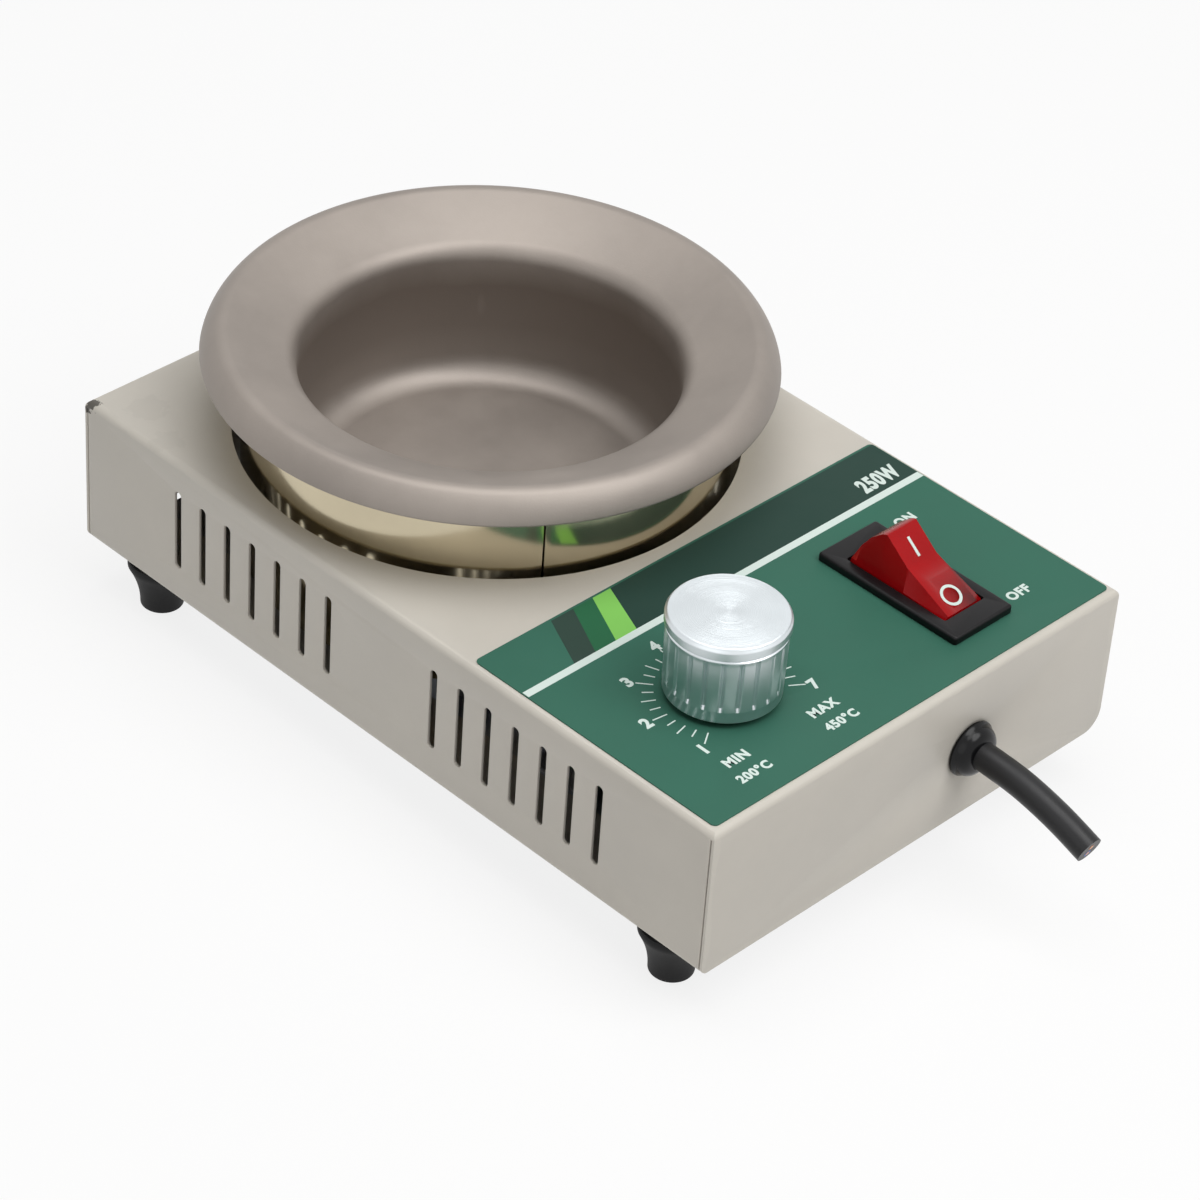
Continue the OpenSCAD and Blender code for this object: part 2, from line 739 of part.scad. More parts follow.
module knob_insert() {
    color([0.1, 0.1, 0.1]) translate(dial_at + [0, 0, insert_low]) difference() {
        cylinder(r = knob_wall_r - 0.02, h = knob_z + knob_hollow - insert_low, $fn = 64);
        translate([0, 0, -past]) cylinder(d = shaft_d + 0.04, h = knob_h, $fn = 48);
    }
}

// The knob's outer line: foot, fluted grip that widens upwards, groove, collar and chamfered crown
function knob_line() = [
    [knob_wall_r, 0], [knob_foot_d / 2 - 0.3, 0], [knob_foot_d / 2, 0.3], [knob_foot_d / 2, 2],
    [knob_d / 2 - 0.25, knob_h - 2.9], [knob_d / 2 - 0.45, knob_h - 2.7], [knob_d / 2 - 0.45, knob_h - 2.4],
    [knob_d / 2, knob_h - 2.1], [knob_d / 2, knob_h - 0.8], [knob_d / 2 - 0.5, knob_h], [0, knob_h],
    [0, knob_hollow], [knob_wall_r, knob_hollow]
];

module knob() {
    flute_z = 2.4;
    flute_h = knob_h - 3.2 - flute_z;
    color([0.8, 0.82, 0.84]) translate(dial_at + [0, 0, knob_z]) difference() {
        rotate_extrude() polygon(knob_line());
        for (k = [0:flute_count - 1]) rotate([0, 0, 360 * (k + 0.5) / flute_count])
            translate([knob_foot_d / 2 - flute_depth, -flute_w / 2, flute_z]) cube([2, flute_w, flute_h]);
    }
}

// ---- switch --------------------------------------------------------------------------------------

module bezel_block() {
    bevel = 0.5;
    intersection() {
        rotate([90, 0, 0]) linear_extrude(bezel_l, center = true) polygon([
            [-bezel_w / 2, 0], [bezel_w / 2, 0], [bezel_w / 2, bezel_t - bevel], [bezel_w / 2 - bevel, bezel_t],
            [-bezel_w / 2 + bevel, bezel_t], [-bezel_w / 2, bezel_t - bevel]
        ]);
        rotate([90, 0, 90]) linear_extrude(bezel_w, center = true) polygon([
            [-bezel_l / 2, 0], [bezel_l / 2, 0], [bezel_l / 2, bezel_t - bevel], [bezel_l / 2 - bevel, bezel_t],
            [-bezel_l / 2 + bevel, bezel_t], [-bezel_l / 2, bezel_t - bevel]
        ]);
    }
}

module switch_body() {
    color([0.12, 0.12, 0.12]) translate(switch_at) difference() {
        union() {
            translate([0, 0, panel_top]) bezel_block();
            translate([-switch_body_w / 2, -switch_body_l / 2, panel_top - switch_body_h])
                cube([switch_body_w, switch_body_l, switch_body_h + 0.5]);
        }
        translate([-well_w / 2, -well_l / 2, bezel_top - well_depth]) cube([well_w, well_l, well_depth + past]);
        translate([0, 0, pivot_z]) rotate([0, 90, 0])
            cylinder(d = trunnion_d + 2 * turn_gap, h = well_w + 1.6, center = true, $fn = 48);
    }
}

module switch_blades() {
    color([0.85, 0.75, 0.45]) for (k = [-1:1])
        translate(switch_at + [-2.4, k * blade_pitch - 0.4, panel_top - switch_body_h - blade_l]) cube([4.8, 0.8, blade_l]);
}

// The rocker's side view about its pivot: two slopes that meet in the middle, round ends, flat below
module rocker_side(reach, crown, skirt) {
    intersection() {
        circle(r = reach, $fn = 96);
        polygon([
            [-reach, -skirt], [reach, -skirt], [reach, crown + reach * tan(rocker_tilt)],
            [0, crown], [-reach, crown + reach * tan(rocker_tilt)]
        ]);
    }
}

// The rocker as it rests, tilted with its front end down
module rocker() {
    color([0.65, 0.06, 0.06]) translate(switch_at + [0, 0, pivot_z]) rotate([rocker_tilt, 0, 0]) {
        difference() {
            rotate([90, 0, 90]) linear_extrude(rocker_w, center = true)
                rocker_side(rocker_reach, rocker_crown, rocker_skirt);
            rotate([90, 0, 90]) linear_extrude(rocker_w - 2 * rocker_wall, center = true)
                rocker_side(rocker_reach - rocker_wall, rocker_crown - rocker_wall, rocker_skirt + past);
        }
        for (s = [-1, 1]) translate([s * (rocker_w / 2 + 0.45), 0, 0]) rotate([0, 90, 0])
            cylinder(d = trunnion_d, h = 1.1, center = true, $fn = 48);
    }
}

module lamp() {
    low = bezel_top - well_depth;
    color([0.95, 0.7, 0.5]) translate(switch_at) {
        translate([0, -3, low + 2.4]) rotate([-90, 0, 0]) cylinder(d = 2.2, h = 6, $fn = 32);
        for (y = [-2.2, 2.2]) translate([0, y, low]) cylinder(d = 0.6, h = 2, $fn = 16);
    }
}

// ---- cord ----------------------------------------------------------------------------------------

// Along +Z out of the wall: inner collar, neck in the wall, flange and domed head
module bushing() {
    neck_l = sheet_t + 0.2;
    dome_r = bushing_d / 2 - 1;
    color([0.06, 0.06, 0.07]) translate(bushing_at) rotate([90, 0, 0]) rotate_extrude($fn = 64) polygon(concat(
        [[cord_d / 2 + turn_gap, -bushing_tail], [bushing_neck_d / 2 - 0.6, -bushing_tail],
            [bushing_neck_d / 2 + 0.6, -neck_l], [bushing_neck_d / 2, -neck_l], [bushing_neck_d / 2, 0.1],
            [bushing_d / 2, 0.1], [bushing_d / 2, 0.8]],
        arc([dome_r - 1.8, 0.8], 2.4, 15, 80, 6),
        [[cord_d / 2 + turn_gap, bushing_head_h]]
    ));
}

module cord() {
    color([0.07, 0.07, 0.08]) tube([for (p = cord_route) bushing_at + p], cord_d, 12, 5);
}

module cord_tail() {
    color([0.07, 0.07, 0.08]) translate(bushing_at + [0, cord_route[0][1] + cord_tail_l, 0])
        rotate([90, 0, 0]) cylinder(d = cord_d, h = cord_tail_l, $fn = 48);
}

// Where a core leaves the cord's jacket inside the case, and its first straight stretch
function core_start(x) = [for (y = [0.1, 1.6, 3.1]) bushing_at + [x, cord_route[0][1] + cord_tail_l + y, 0]];

// The live core runs down to the switch's front blade
module live_lead() {
    blade = switch_at + [-2.4, -blade_pitch, panel_top - switch_body_h - blade_l + 2.8];
    color([0.45, 0.25, 0.12]) tube(concat(core_start(1.3), [
        [15, blade[1] + 1.4, blade[2] + 2.5], blade - [3, 0, 0], blade - [0.2, 0, 0]
    ]), lead_d, 8, 4);
}

// The neutral core runs down to the board's right edge
module neutral_lead() {
    edge = board_at + [board_w / 2, 4, board_z + board_t / 2];
    color([0.2, 0.35, 0.65]) tube(concat(core_start(-1.3), [
        edge + [3.4, -12, 5], edge + [3, -4, 0.5], edge + [1.2, 0, 0]
    ]), lead_d, 8, 4);
}

// Two sleeved leads from the heater band down through the pan and the baffle to the terminal block
module heater_leads() {
    top = [heater_lead_x, pot_back - heater_lead_out, band_low + 4];
    hole = [2, baffle_y, case_z + 5];
    wire = block_at + [block_w / 2, block_l + 0.2, block_wire_z];
    color([0.85, 0.83, 0.78]) for (s = [-1, 1]) {
        left = [s * top[0], top[1], 0];
        end = wire + [s * block_pitch / 2, 0, 0];
        tube([
            left + [0, 0, top[2]], left + [0, 0, 30], left + [0, 0, 20], [s * 4, top[1] - 3, 14.6],
            [s * hole[0], hole[1], hole[2]], [8 + 2 * s, hole[1] - 4.2 + s, hole[2]],
            end + [-5 + s, 3.2 + s, 0], end + [0, 1.4, 0], end
        ], lead_d, 8, 3, [1, 1, 1]);
    }
}

cover();
base_plate();
panel();
pot();
pot_studs();
stud_nuts();
shell();
carrier_pan();
heater_band();
band_screw();
insulating_pad();
pillar(0);  // pillar_left
pillar(1);  // pillar_right
pillar(2);  // pillar_back
pillar_screws();
pillar_nuts();
heat_baffle();
baffle_screws();
board();
board_posts();
board_screws();
capacitor();
choke();
triac();
heat_sink();
resistors();
terminal_block();
potentiometer();
dial_washer();
dial_nut();
shaft();
knob_insert();
knob();
switch_body();
switch_blades();
lamp();
rocker();
bushing();
cord();
cord_tail();
live_lead();
neutral_lead();
heater_leads();
foot_at(-1, -1);  // foot_front_left
foot_at(1, -1);  // foot_front_right
foot_at(-1, 1);  // foot_back_left
foot_at(1, 1);  // foot_back_right
foot_screws();
foot_nuts();
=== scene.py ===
import bpy, bmesh, json, math
from mathutils import Matrix, Vector


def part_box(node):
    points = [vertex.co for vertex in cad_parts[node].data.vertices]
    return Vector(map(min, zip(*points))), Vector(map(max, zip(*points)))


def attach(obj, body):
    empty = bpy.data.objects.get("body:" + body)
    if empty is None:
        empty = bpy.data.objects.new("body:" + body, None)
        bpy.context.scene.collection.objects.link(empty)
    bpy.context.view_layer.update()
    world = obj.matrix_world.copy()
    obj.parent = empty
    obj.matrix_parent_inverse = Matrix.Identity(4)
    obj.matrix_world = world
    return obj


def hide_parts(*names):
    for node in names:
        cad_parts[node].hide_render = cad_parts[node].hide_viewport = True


for spare in ("Cube", "Light", "Camera"):  # what a new file starts with
    if spare in bpy.data.objects:
        bpy.data.objects.remove(bpy.data.objects[spare])

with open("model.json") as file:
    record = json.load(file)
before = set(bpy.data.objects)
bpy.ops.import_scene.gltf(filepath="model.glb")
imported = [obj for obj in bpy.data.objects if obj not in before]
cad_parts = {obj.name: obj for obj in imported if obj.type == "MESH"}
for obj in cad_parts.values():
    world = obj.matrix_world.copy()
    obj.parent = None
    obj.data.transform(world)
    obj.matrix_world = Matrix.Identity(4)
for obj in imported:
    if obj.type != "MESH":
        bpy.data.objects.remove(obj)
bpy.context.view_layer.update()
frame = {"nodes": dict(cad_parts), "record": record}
scene = bpy.context.scene
mm = 0.001
axisX, axisY, axisZ = Vector((1, 0, 0)), Vector((0, 1, 0)), Vector((0, 0, 1))

caseLow, caseHigh = (Vector(c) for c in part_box("cover"))
panelLow, panelHigh = (Vector(c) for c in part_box("panel"))
caseTop = caseHigh.z
print("frame loaded")


def middleOf(node):
    low, high = (Vector(c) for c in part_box(node))
    return (low + high) / 2


def onCase(x, y, z=0.0):
    # millimetres from the case's front left corner, z over its top
    return Vector((caseLow.x + x * mm, caseLow.y + y * mm, caseTop + z * mm))


def arc(centre, radius, start, end, steps):
    # points of an arc in a section, angles in degrees
    points = []
    for i in range(steps + 1):
        a = math.radians(start + (end - start) * i / steps)
        points.append((centre[0] + radius * math.cos(a), centre[1] + radius * math.sin(a)))
    return points


def spinOutline(bm, outline, centre, steps, closed=False, axis=axisZ, out=axisX):
    # turns an outline of (radius, height) points about an axis through centre
    verts = [bm.verts.new(centre + out * r + axis * h) for r, h in outline]
    edges = [bm.edges.new(pair) for pair in zip(verts, verts[1:])]
    if closed:
        edges.append(bm.edges.new((verts[-1], verts[0])))
    bmesh.ops.spin(bm, geom=verts + edges, cent=centre, axis=axis, angle=2 * math.pi,
                   steps=steps, use_merge=True, use_duplicate=False)
    bmesh.ops.remove_doubles(bm, verts=bm.verts, dist=1e-7)


def addBlock(bm, low, high):
    # a block between two corners, returned as its vertices
    made = bmesh.ops.create_cube(bm, size=1)["verts"]
    bmesh.ops.scale(bm, vec=high - low, verts=made)
    bmesh.ops.translate(bm, vec=(low + high) / 2, verts=made)
    return made


def addRod(bm, start, end, radius, sides=24):
    # a rod from start to end
    along = end - start
    made = bmesh.ops.create_cone(bm, cap_ends=True, segments=sides, radius1=radius,
                                 radius2=radius, depth=along.length)["verts"]
    turn = axisZ.rotation_difference(along).to_matrix()
    bmesh.ops.rotate(bm, cent=(0, 0, 0), matrix=turn, verts=made)
    bmesh.ops.translate(bm, vec=(start + end) / 2, verts=made)


def roundEdges(bm, edges, width, segments=3):
    bmesh.ops.bevel(bm, geom=list(edges), offset=width, offset_type="OFFSET", segments=segments,
                    profile=0.5, affect="EDGES", clamp_overlap=True, material=-1)


def extrudePlate(bm, corners, thickness):
    # a flat plate with the given corners, thickness along +Z
    face = bm.faces.new([bm.verts.new(c) for c in corners])
    grown = bmesh.ops.extrude_face_region(bm, geom=[face])["geom"]
    top = [v for v in grown if isinstance(v, bmesh.types.BMVert)]
    bmesh.ops.translate(bm, vec=(0, 0, thickness), verts=top)


def upright(bm):
    # the edges that rise between two heights
    return [e for e in bm.edges if abs(e.verts[0].co.z - e.verts[1].co.z) > 1e-5]


def makePiece(name, bm, material, body, replaced=(), smooth=35):
    bmesh.ops.recalc_face_normals(bm, faces=bm.faces)
    mesh = bpy.data.meshes.new(name)
    bm.to_mesh(mesh)
    bm.free()
    mesh.materials.append(material)
    mesh.polygons.foreach_set("use_smooth", [True] * len(mesh.polygons))
    mesh.set_sharp_from_angle(angle=math.radians(smooth))
    piece = bpy.data.objects.new(name, mesh)
    scene.collection.objects.link(piece)
    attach(piece, body)
    if replaced:
        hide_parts(*replaced)
    return piece


def applyModifiers(piece):
    # keeps what the modifiers make as the piece's own mesh
    graph = bpy.context.evaluated_depsgraph_get()
    made = bpy.data.meshes.new_from_object(piece.evaluated_get(graph))
    piece.modifiers.clear()
    piece.data = made


def cutWith(piece, cutter):
    hole = piece.modifiers.new("cut", "BOOLEAN")
    hole.operation = "DIFFERENCE"
    hole.solver = "EXACT"
    hole.object = cutter


def softEdges(piece, width, angle=40, segments=2):
    bevel = piece.modifiers.new("soft edges", "BEVEL")
    bevel.width = width
    bevel.segments = segments
    bevel.limit_method = "ANGLE"
    bevel.angle_limit = math.radians(angle)
    bevel.harden_normals = False


cameraSetup = dict(place=(-0.44572, -0.41816, 0.48203), heading=47.064, down=37.229, roll=4.203,
                   lens=129.27)


def addCamera(setup):
    camera = bpy.data.cameras.new("camera")
    camera.lens = setup["lens"]
    camera.sensor_width = 36
    camera.clip_start = 0.02
    camera.clip_end = 20
    holder = bpy.data.objects.new("camera", camera)
    scene.collection.objects.link(holder)
    turn = (Matrix.Rotation(math.radians(-setup["heading"]), 4, "Z")
            @ Matrix.Rotation(math.radians(90 - setup["down"]), 4, "X")
            @ Matrix.Rotation(math.radians(setup["roll"]), 4, "Z"))
    holder.matrix_world = Matrix.Translation(setup["place"]) @ turn
    scene.camera = holder


addCamera(cameraSetup)


cordLook = dict(diameter=5.2 * mm, sides=32, smoothing=8)

# the cord's centreline from inside the bushing to its cut end, in millimetres from the bushing
cordRoute = [(0, 8, 0), (0, 2, 0), (0, -4, 0), (0, -12, -0.6), (0, -20, -2.4), (0, -27.5, -5)]

bushingLow, bushingHigh = (Vector(c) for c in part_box("bushing"))
bushingMiddle = Vector(((bushingLow.x + bushingHigh.x) / 2, caseLow.y,
                        (bushingLow.z + bushingHigh.z) / 2))


def smoothLine(points, steps):
    # a Catmull-Rom curve through the points
    line = []
    for i in range(len(points) - 1):
        a, b = points[max(i - 1, 0)], points[i]
        c, d = points[i + 1], points[min(i + 2, len(points) - 1)]
        for k in range(steps):
            t = k / steps
            line.append(0.5 * (2 * b + (c - a) * t + (2 * a - 5 * b + 4 * c - d) * t ** 2
                               + (3 * b - a - 3 * c + d) * t ** 3))
    line.append(points[-1])
    return line


def newGroup(name, inputs, outputs):
    group = bpy.data.node_groups.new(name, "ShaderNodeTree")
    for label, kind, value in inputs:
        socket = group.interface.new_socket(label, in_out="INPUT", socket_type="NodeSocket" + kind)
        socket.default_value = value
    for label, kind in outputs:
        group.interface.new_socket(label, in_out="OUTPUT", socket_type="NodeSocket" + kind)
    return group, group.nodes.new("NodeGroupInput"), group.nodes.new("NodeGroupOutput")


def addNode(tree, kind, **settings):
    node = tree.nodes.new("ShaderNode" + kind)
    for key, value in settings.items():
        setattr(node, key, value)
    return node


def setRamp(ramp, *stops):
    # stops are (place, value) pairs from black to white
    elements = ramp.color_ramp.elements
    while len(elements) < len(stops):
        elements.new(0.5)
    for element, (place, value) in zip(elements, stops):
        element.position = place
        element.color = (value, value, value, 1)


def makeGrain():
    # fine grain: a height for bump and a slow cloud for variation
    group, start, end = newGroup("fineGrain",
                                 [("Fine Scale", "Float", 2000.0), ("Cloud Scale", "Float", 30.0)],
                                 [("Height", "Float"), ("Cloud", "Float")])
    coords = addNode(group, "TexCoord")
    fine = addNode(group, "TexNoise")
    fine.inputs["Detail"].default_value = 3
    cloud = addNode(group, "TexNoise")
    cloud.inputs["Detail"].default_value = 5
    cloud.inputs["Roughness"].default_value = 0.6
    link = group.links.new
    for noise, scale in ((fine, "Fine Scale"), (cloud, "Cloud Scale")):
        link(coords.outputs["Object"], noise.inputs["Vector"])
        link(start.outputs[scale], noise.inputs["Scale"])
    link(fine.outputs["Fac"], end.inputs["Height"])
    link(cloud.outputs["Fac"], end.inputs["Cloud"])
    return group


def makeScratches():
    # thin wandering scratches as a mask
    group, start, end = newGroup("scratches",
                                 [("Scale", "Float", 60.0), ("Amount", "Float", 0.5)], [("Mask", "Float")])
    link = group.links.new
    coords = addNode(group, "TexCoord")
    stretch = addNode(group, "Mapping")
    stretch.inputs["Scale"].default_value = (1.0, 0.06, 0.3)
    stretch.inputs["Rotation"].default_value = (0.2, 0.1, 0.9)
    noise = addNode(group, "TexNoise")
    noise.inputs["Detail"].default_value = 2
    noise.inputs["Distortion"].default_value = 0.4
    ramp = addNode(group, "ValToRGB")
    setRamp(ramp, (0.0, 0), (0.695, 0), (0.71, 1), (0.73, 0))
    scale = addNode(group, "Math", operation="MULTIPLY")
    link(coords.outputs["Object"], stretch.inputs["Vector"])
    link(stretch.outputs["Vector"], noise.inputs["Vector"])
    link(start.outputs["Scale"], noise.inputs["Scale"])
    link(noise.outputs["Fac"], ramp.inputs["Fac"])
    link(ramp.outputs["Color"], scale.inputs[0])
    link(start.outputs["Amount"], scale.inputs[1])
    link(scale.outputs[0], end.inputs["Mask"])
    return group


def makeRings():
    # turning marks about a vertical axis: thin rings of changing height
    group, start, end = newGroup("turningRings",
                                 [("Centre", "Vector", (0, 0, 0)), ("Scale", "Float", 3000.0)],
                                 [("Height", "Float"), ("Radius", "Float")])
    link = group.links.new
    coords = addNode(group, "TexCoord")
    shift = addNode(group, "VectorMath", operation="SUBTRACT")
    split = addNode(group, "SeparateXYZ")
    flat = addNode(group, "CombineXYZ")
    length = addNode(group, "VectorMath", operation="LENGTH")
    scale = addNode(group, "Math", operation="MULTIPLY")
    noise = addNode(group, "TexNoise", noise_dimensions="1D")
    noise.inputs["Detail"].default_value = 4
    noise.inputs["Scale"].default_value = 1
    link(coords.outputs["Object"], shift.inputs[0])
    link(start.outputs["Centre"], shift.inputs[1])
    link(shift.outputs[0], split.inputs[0])
    link(split.outputs["X"], flat.inputs["X"])
    link(split.outputs["Y"], flat.inputs["Y"])
    link(flat.outputs[0], length.inputs[0])
    link(length.outputs["Value"], scale.inputs[0])
    link(start.outputs["Scale"], scale.inputs[1])
    link(scale.outputs[0], noise.inputs["W"])
    link(noise.outputs["Fac"], end.inputs["Height"])
    link(length.outputs["Value"], end.inputs["Radius"])
    return group


grainGroup = makeGrain()
scratchGroup = makeScratches()
ringGroup = makeRings()


class Finish:
    # one material being built: its tree, shader and small helpers
    def __init__(self, name, color, roughness, metallic=0.0):
        self.material = bpy.data.materials.new(name)
        self.material.use_nodes = True
        self.tree = self.material.node_tree
        self.shader = self.tree.nodes["Principled BSDF"]
        self.color = color
        self.roughness = roughness
        self.set("Base Color", (*color, 1))
        self.set("Roughness", roughness)
        self.set("Metallic", metallic)

    def set(self, socket, value):
        self.shader.inputs[socket].default_value = value

    def add(self, kind, **settings):
        return addNode(self.tree, kind, **settings)

    def link(self, output, socket):
        self.tree.links.new(output, socket)

    def group(self, group, **values):
        node = self.add("Group")
        node.node_tree = group
        for key, value in values.items():
            node.inputs[key].default_value = value
        return node

    def mapRange(self, source, low, high, fromLow=0.0, fromHigh=1.0):
        node = self.add("MapRange")
        node.inputs["From Min"].default_value = fromLow
        node.inputs["From Max"].default_value = fromHigh
        node.inputs["To Min"].default_value = low
        node.inputs["To Max"].default_value = high
        self.link(source, node.inputs["Value"])
        return node.outputs["Result"]

    def mix(self, factor, colorA, colorB):
        node = self.add("Mix", data_type="RGBA")
        for label, value in (("A", colorA), ("B", colorB)):
            socket = [s for s in node.inputs if s.name == label and s.type == "RGBA"][0]
            if isinstance(value, tuple):
                socket.default_value = (*value, 1)
            else:
                self.link(value, socket)
        factorSocket = [s for s in node.inputs if s.name == "Factor" and s.type == "VALUE"][0]
        self.link(factor, factorSocket)
        return [s for s in node.outputs if s.type == "RGBA"][0]

    def bump(self, height, strength, distance):
        node = self.add("Bump")
        node.inputs["Strength"].default_value = strength
        node.inputs["Distance"].default_value = distance
        self.link(height, node.inputs["Height"])
        self.link(node.outputs["Normal"], self.shader.inputs["Normal"])
        return node

    def grain(self, fine, cloud, strength=0.1, distance=0.00005, spread=0.08, shade=0.06):
        # grain bump, roughness that drifts and a slight drift of the colour
        node = self.group(grainGroup, **{"Fine Scale": fine, "Cloud Scale": cloud})
        self.bump(node.outputs["Height"], strength, distance)
        rough = self.mapRange(node.outputs["Cloud"], self.roughness - spread, self.roughness + spread,
                              0.3, 0.7)
        self.link(rough, self.shader.inputs["Roughness"])
        darker = tuple(c * (1 - shade) for c in self.color)
        lighter = tuple(min(1, c * (1 + shade)) for c in self.color)
        tone = self.mix(self.mapRange(node.outputs["Cloud"], 0, 1, 0.3, 0.7), darker, lighter)
        self.link(tone, self.shader.inputs["Base Color"])
        return node, tone


def shade(hexColor):
    # a colour as painters write it, for the shader
    values = [int(hexColor[i:i + 2], 16) / 255 for i in (0, 2, 4)]
    return tuple(v / 12.92 if v <= 0.04045 else ((v + 0.055) / 1.055) ** 2.4 for v in values)


def makeEdgeWear():
    # where a box's edges are rubbed: near two faces at once, broken up by noise
    group, start, end = newGroup("edgeWear",
                                 [("Centre", "Vector", (0, 0, 0)), ("Half Size", "Vector", (1, 1, 1)),
                                  ("Width", "Float", 0.0008), ("Breakup Scale", "Float", 300.0)],
                                 [("Mask", "Float")])
    link = group.links.new
    coords = addNode(group, "TexCoord")
    shift = addNode(group, "VectorMath", operation="SUBTRACT")
    size = addNode(group, "VectorMath", operation="ABSOLUTE")
    depth = addNode(group, "VectorMath", operation="SUBTRACT")
    split = addNode(group, "SeparateXYZ")
    total = addNode(group, "VectorMath", operation="DOT_PRODUCT")
    total.inputs[1].default_value = (1, 1, 1)
    mostXY = addNode(group, "Math", operation="MAXIMUM")
    most = addNode(group, "Math", operation="MAXIMUM")
    near = addNode(group, "Math", operation="SUBTRACT")
    share = addNode(group, "Math", operation="DIVIDE")
    noise = addNode(group, "TexNoise")
    noise.inputs["Detail"].default_value = 4
    gate = addNode(group, "Math", operation="SUBTRACT")
    ramp = addNode(group, "ValToRGB")
    setRamp(ramp, (0.0, 1), (0.12, 0))
    link(coords.outputs["Object"], shift.inputs[0])
    link(start.outputs["Centre"], shift.inputs[1])
    link(shift.outputs[0], size.inputs[0])
    link(start.outputs["Half Size"], depth.inputs[0])
    link(size.outputs[0], depth.inputs[1])
    link(depth.outputs[0], split.inputs[0])
    link(depth.outputs[0], total.inputs[0])
    link(split.outputs["X"], mostXY.inputs[0])
    link(split.outputs["Y"], mostXY.inputs[1])
    link(mostXY.outputs[0], most.inputs[0])
    link(split.outputs["Z"], most.inputs[1])
    link(total.outputs["Value"], near.inputs[0])
    link(most.outputs[0], near.inputs[1])
    link(near.outputs[0], share.inputs[0])
    link(start.outputs["Width"], share.inputs[1])
    link(coords.outputs["Object"], noise.inputs["Vector"])
    link(start.outputs["Breakup Scale"], noise.inputs["Scale"])
    link(share.outputs[0], gate.inputs[0])
    link(noise.outputs["Fac"], gate.inputs[1])
    link(gate.outputs[0], ramp.inputs["Fac"])
    link(ramp.outputs["Color"], end.inputs["Mask"])
    return group


edgeGroup = makeEdgeWear()


def paintedSteel():
    look = dict(paint="C4BFB6", worn="D9D4C8", chip="3E3A34", roughness=0.42)
    finish = Finish("coverPaint", shade(look["paint"]), look["roughness"])
    finish.set("Specular IOR Level", 0.3)
    node, tone = finish.grain(2600, 45, strength=0.22, distance=0.00004, spread=0.06, shade=0.035)
    centre = (caseLow + caseHigh) / 2
    half = (caseHigh - caseLow) / 2
    wear = finish.group(edgeGroup, **{"Centre": centre, "Half Size": half, "Width": 0.0022,
                                      "Breakup Scale": 160.0})
    faint = finish.mapRange(wear.outputs["Mask"], 0, 0.14)
    tone = finish.mix(faint, tone, shade(look["worn"]))
    # scuffs and one chip at the back left corner
    coords = finish.add("TexCoord")
    marks = ((Vector((caseLow.x + 0.6 * mm, caseHigh.y - 1.2 * mm, caseTop - 0.6 * mm)), 1.5 * mm, 0.9),
             (Vector((caseLow.x + 7 * mm, caseHigh.y - 9 * mm, caseTop)), 4.0 * mm, 0.05),
             (Vector((caseLow.x + 3 * mm, caseHigh.y - 19 * mm, caseTop)), 3.0 * mm, 0.04))
    noise = finish.add("TexNoise")
    noise.inputs["Scale"].default_value = 700
    noise.inputs["Detail"].default_value = 3
    finish.link(coords.outputs["Object"], noise.inputs["Vector"])
    wobble = finish.mapRange(noise.outputs["Fac"], -1.2 * mm, 1.2 * mm, 0.3, 0.7)
    for place, radius, strength in marks:
        away = finish.add("VectorMath", operation="DISTANCE")
        away.inputs[1].default_value = place
        finish.link(coords.outputs["Object"], away.inputs[0])
        rough = finish.add("Math", operation="ADD")
        finish.link(away.outputs["Value"], rough.inputs[0])
        finish.link(wobble, rough.inputs[1])
        mask = finish.mapRange(rough.outputs[0], strength, 0.0, radius * 0.8, radius)
        tone = finish.mix(mask, tone, shade(look["chip"]))
    finish.link(tone, finish.shader.inputs["Base Color"])
    return finish.material


def plainFinish(name, hexColor, roughness, metallic=0.0, fine=2500, cloud=60, strength=0.12,
                distance=0.00003, spread=0.08, tones=0.05, **sockets):
    finish = Finish(name, shade(hexColor), roughness, metallic)
    for label, value in sockets.items():
        finish.set(label.replace("_", " "), value)
    finish.grain(fine, cloud, strength, distance, spread, tones)
    return finish.material


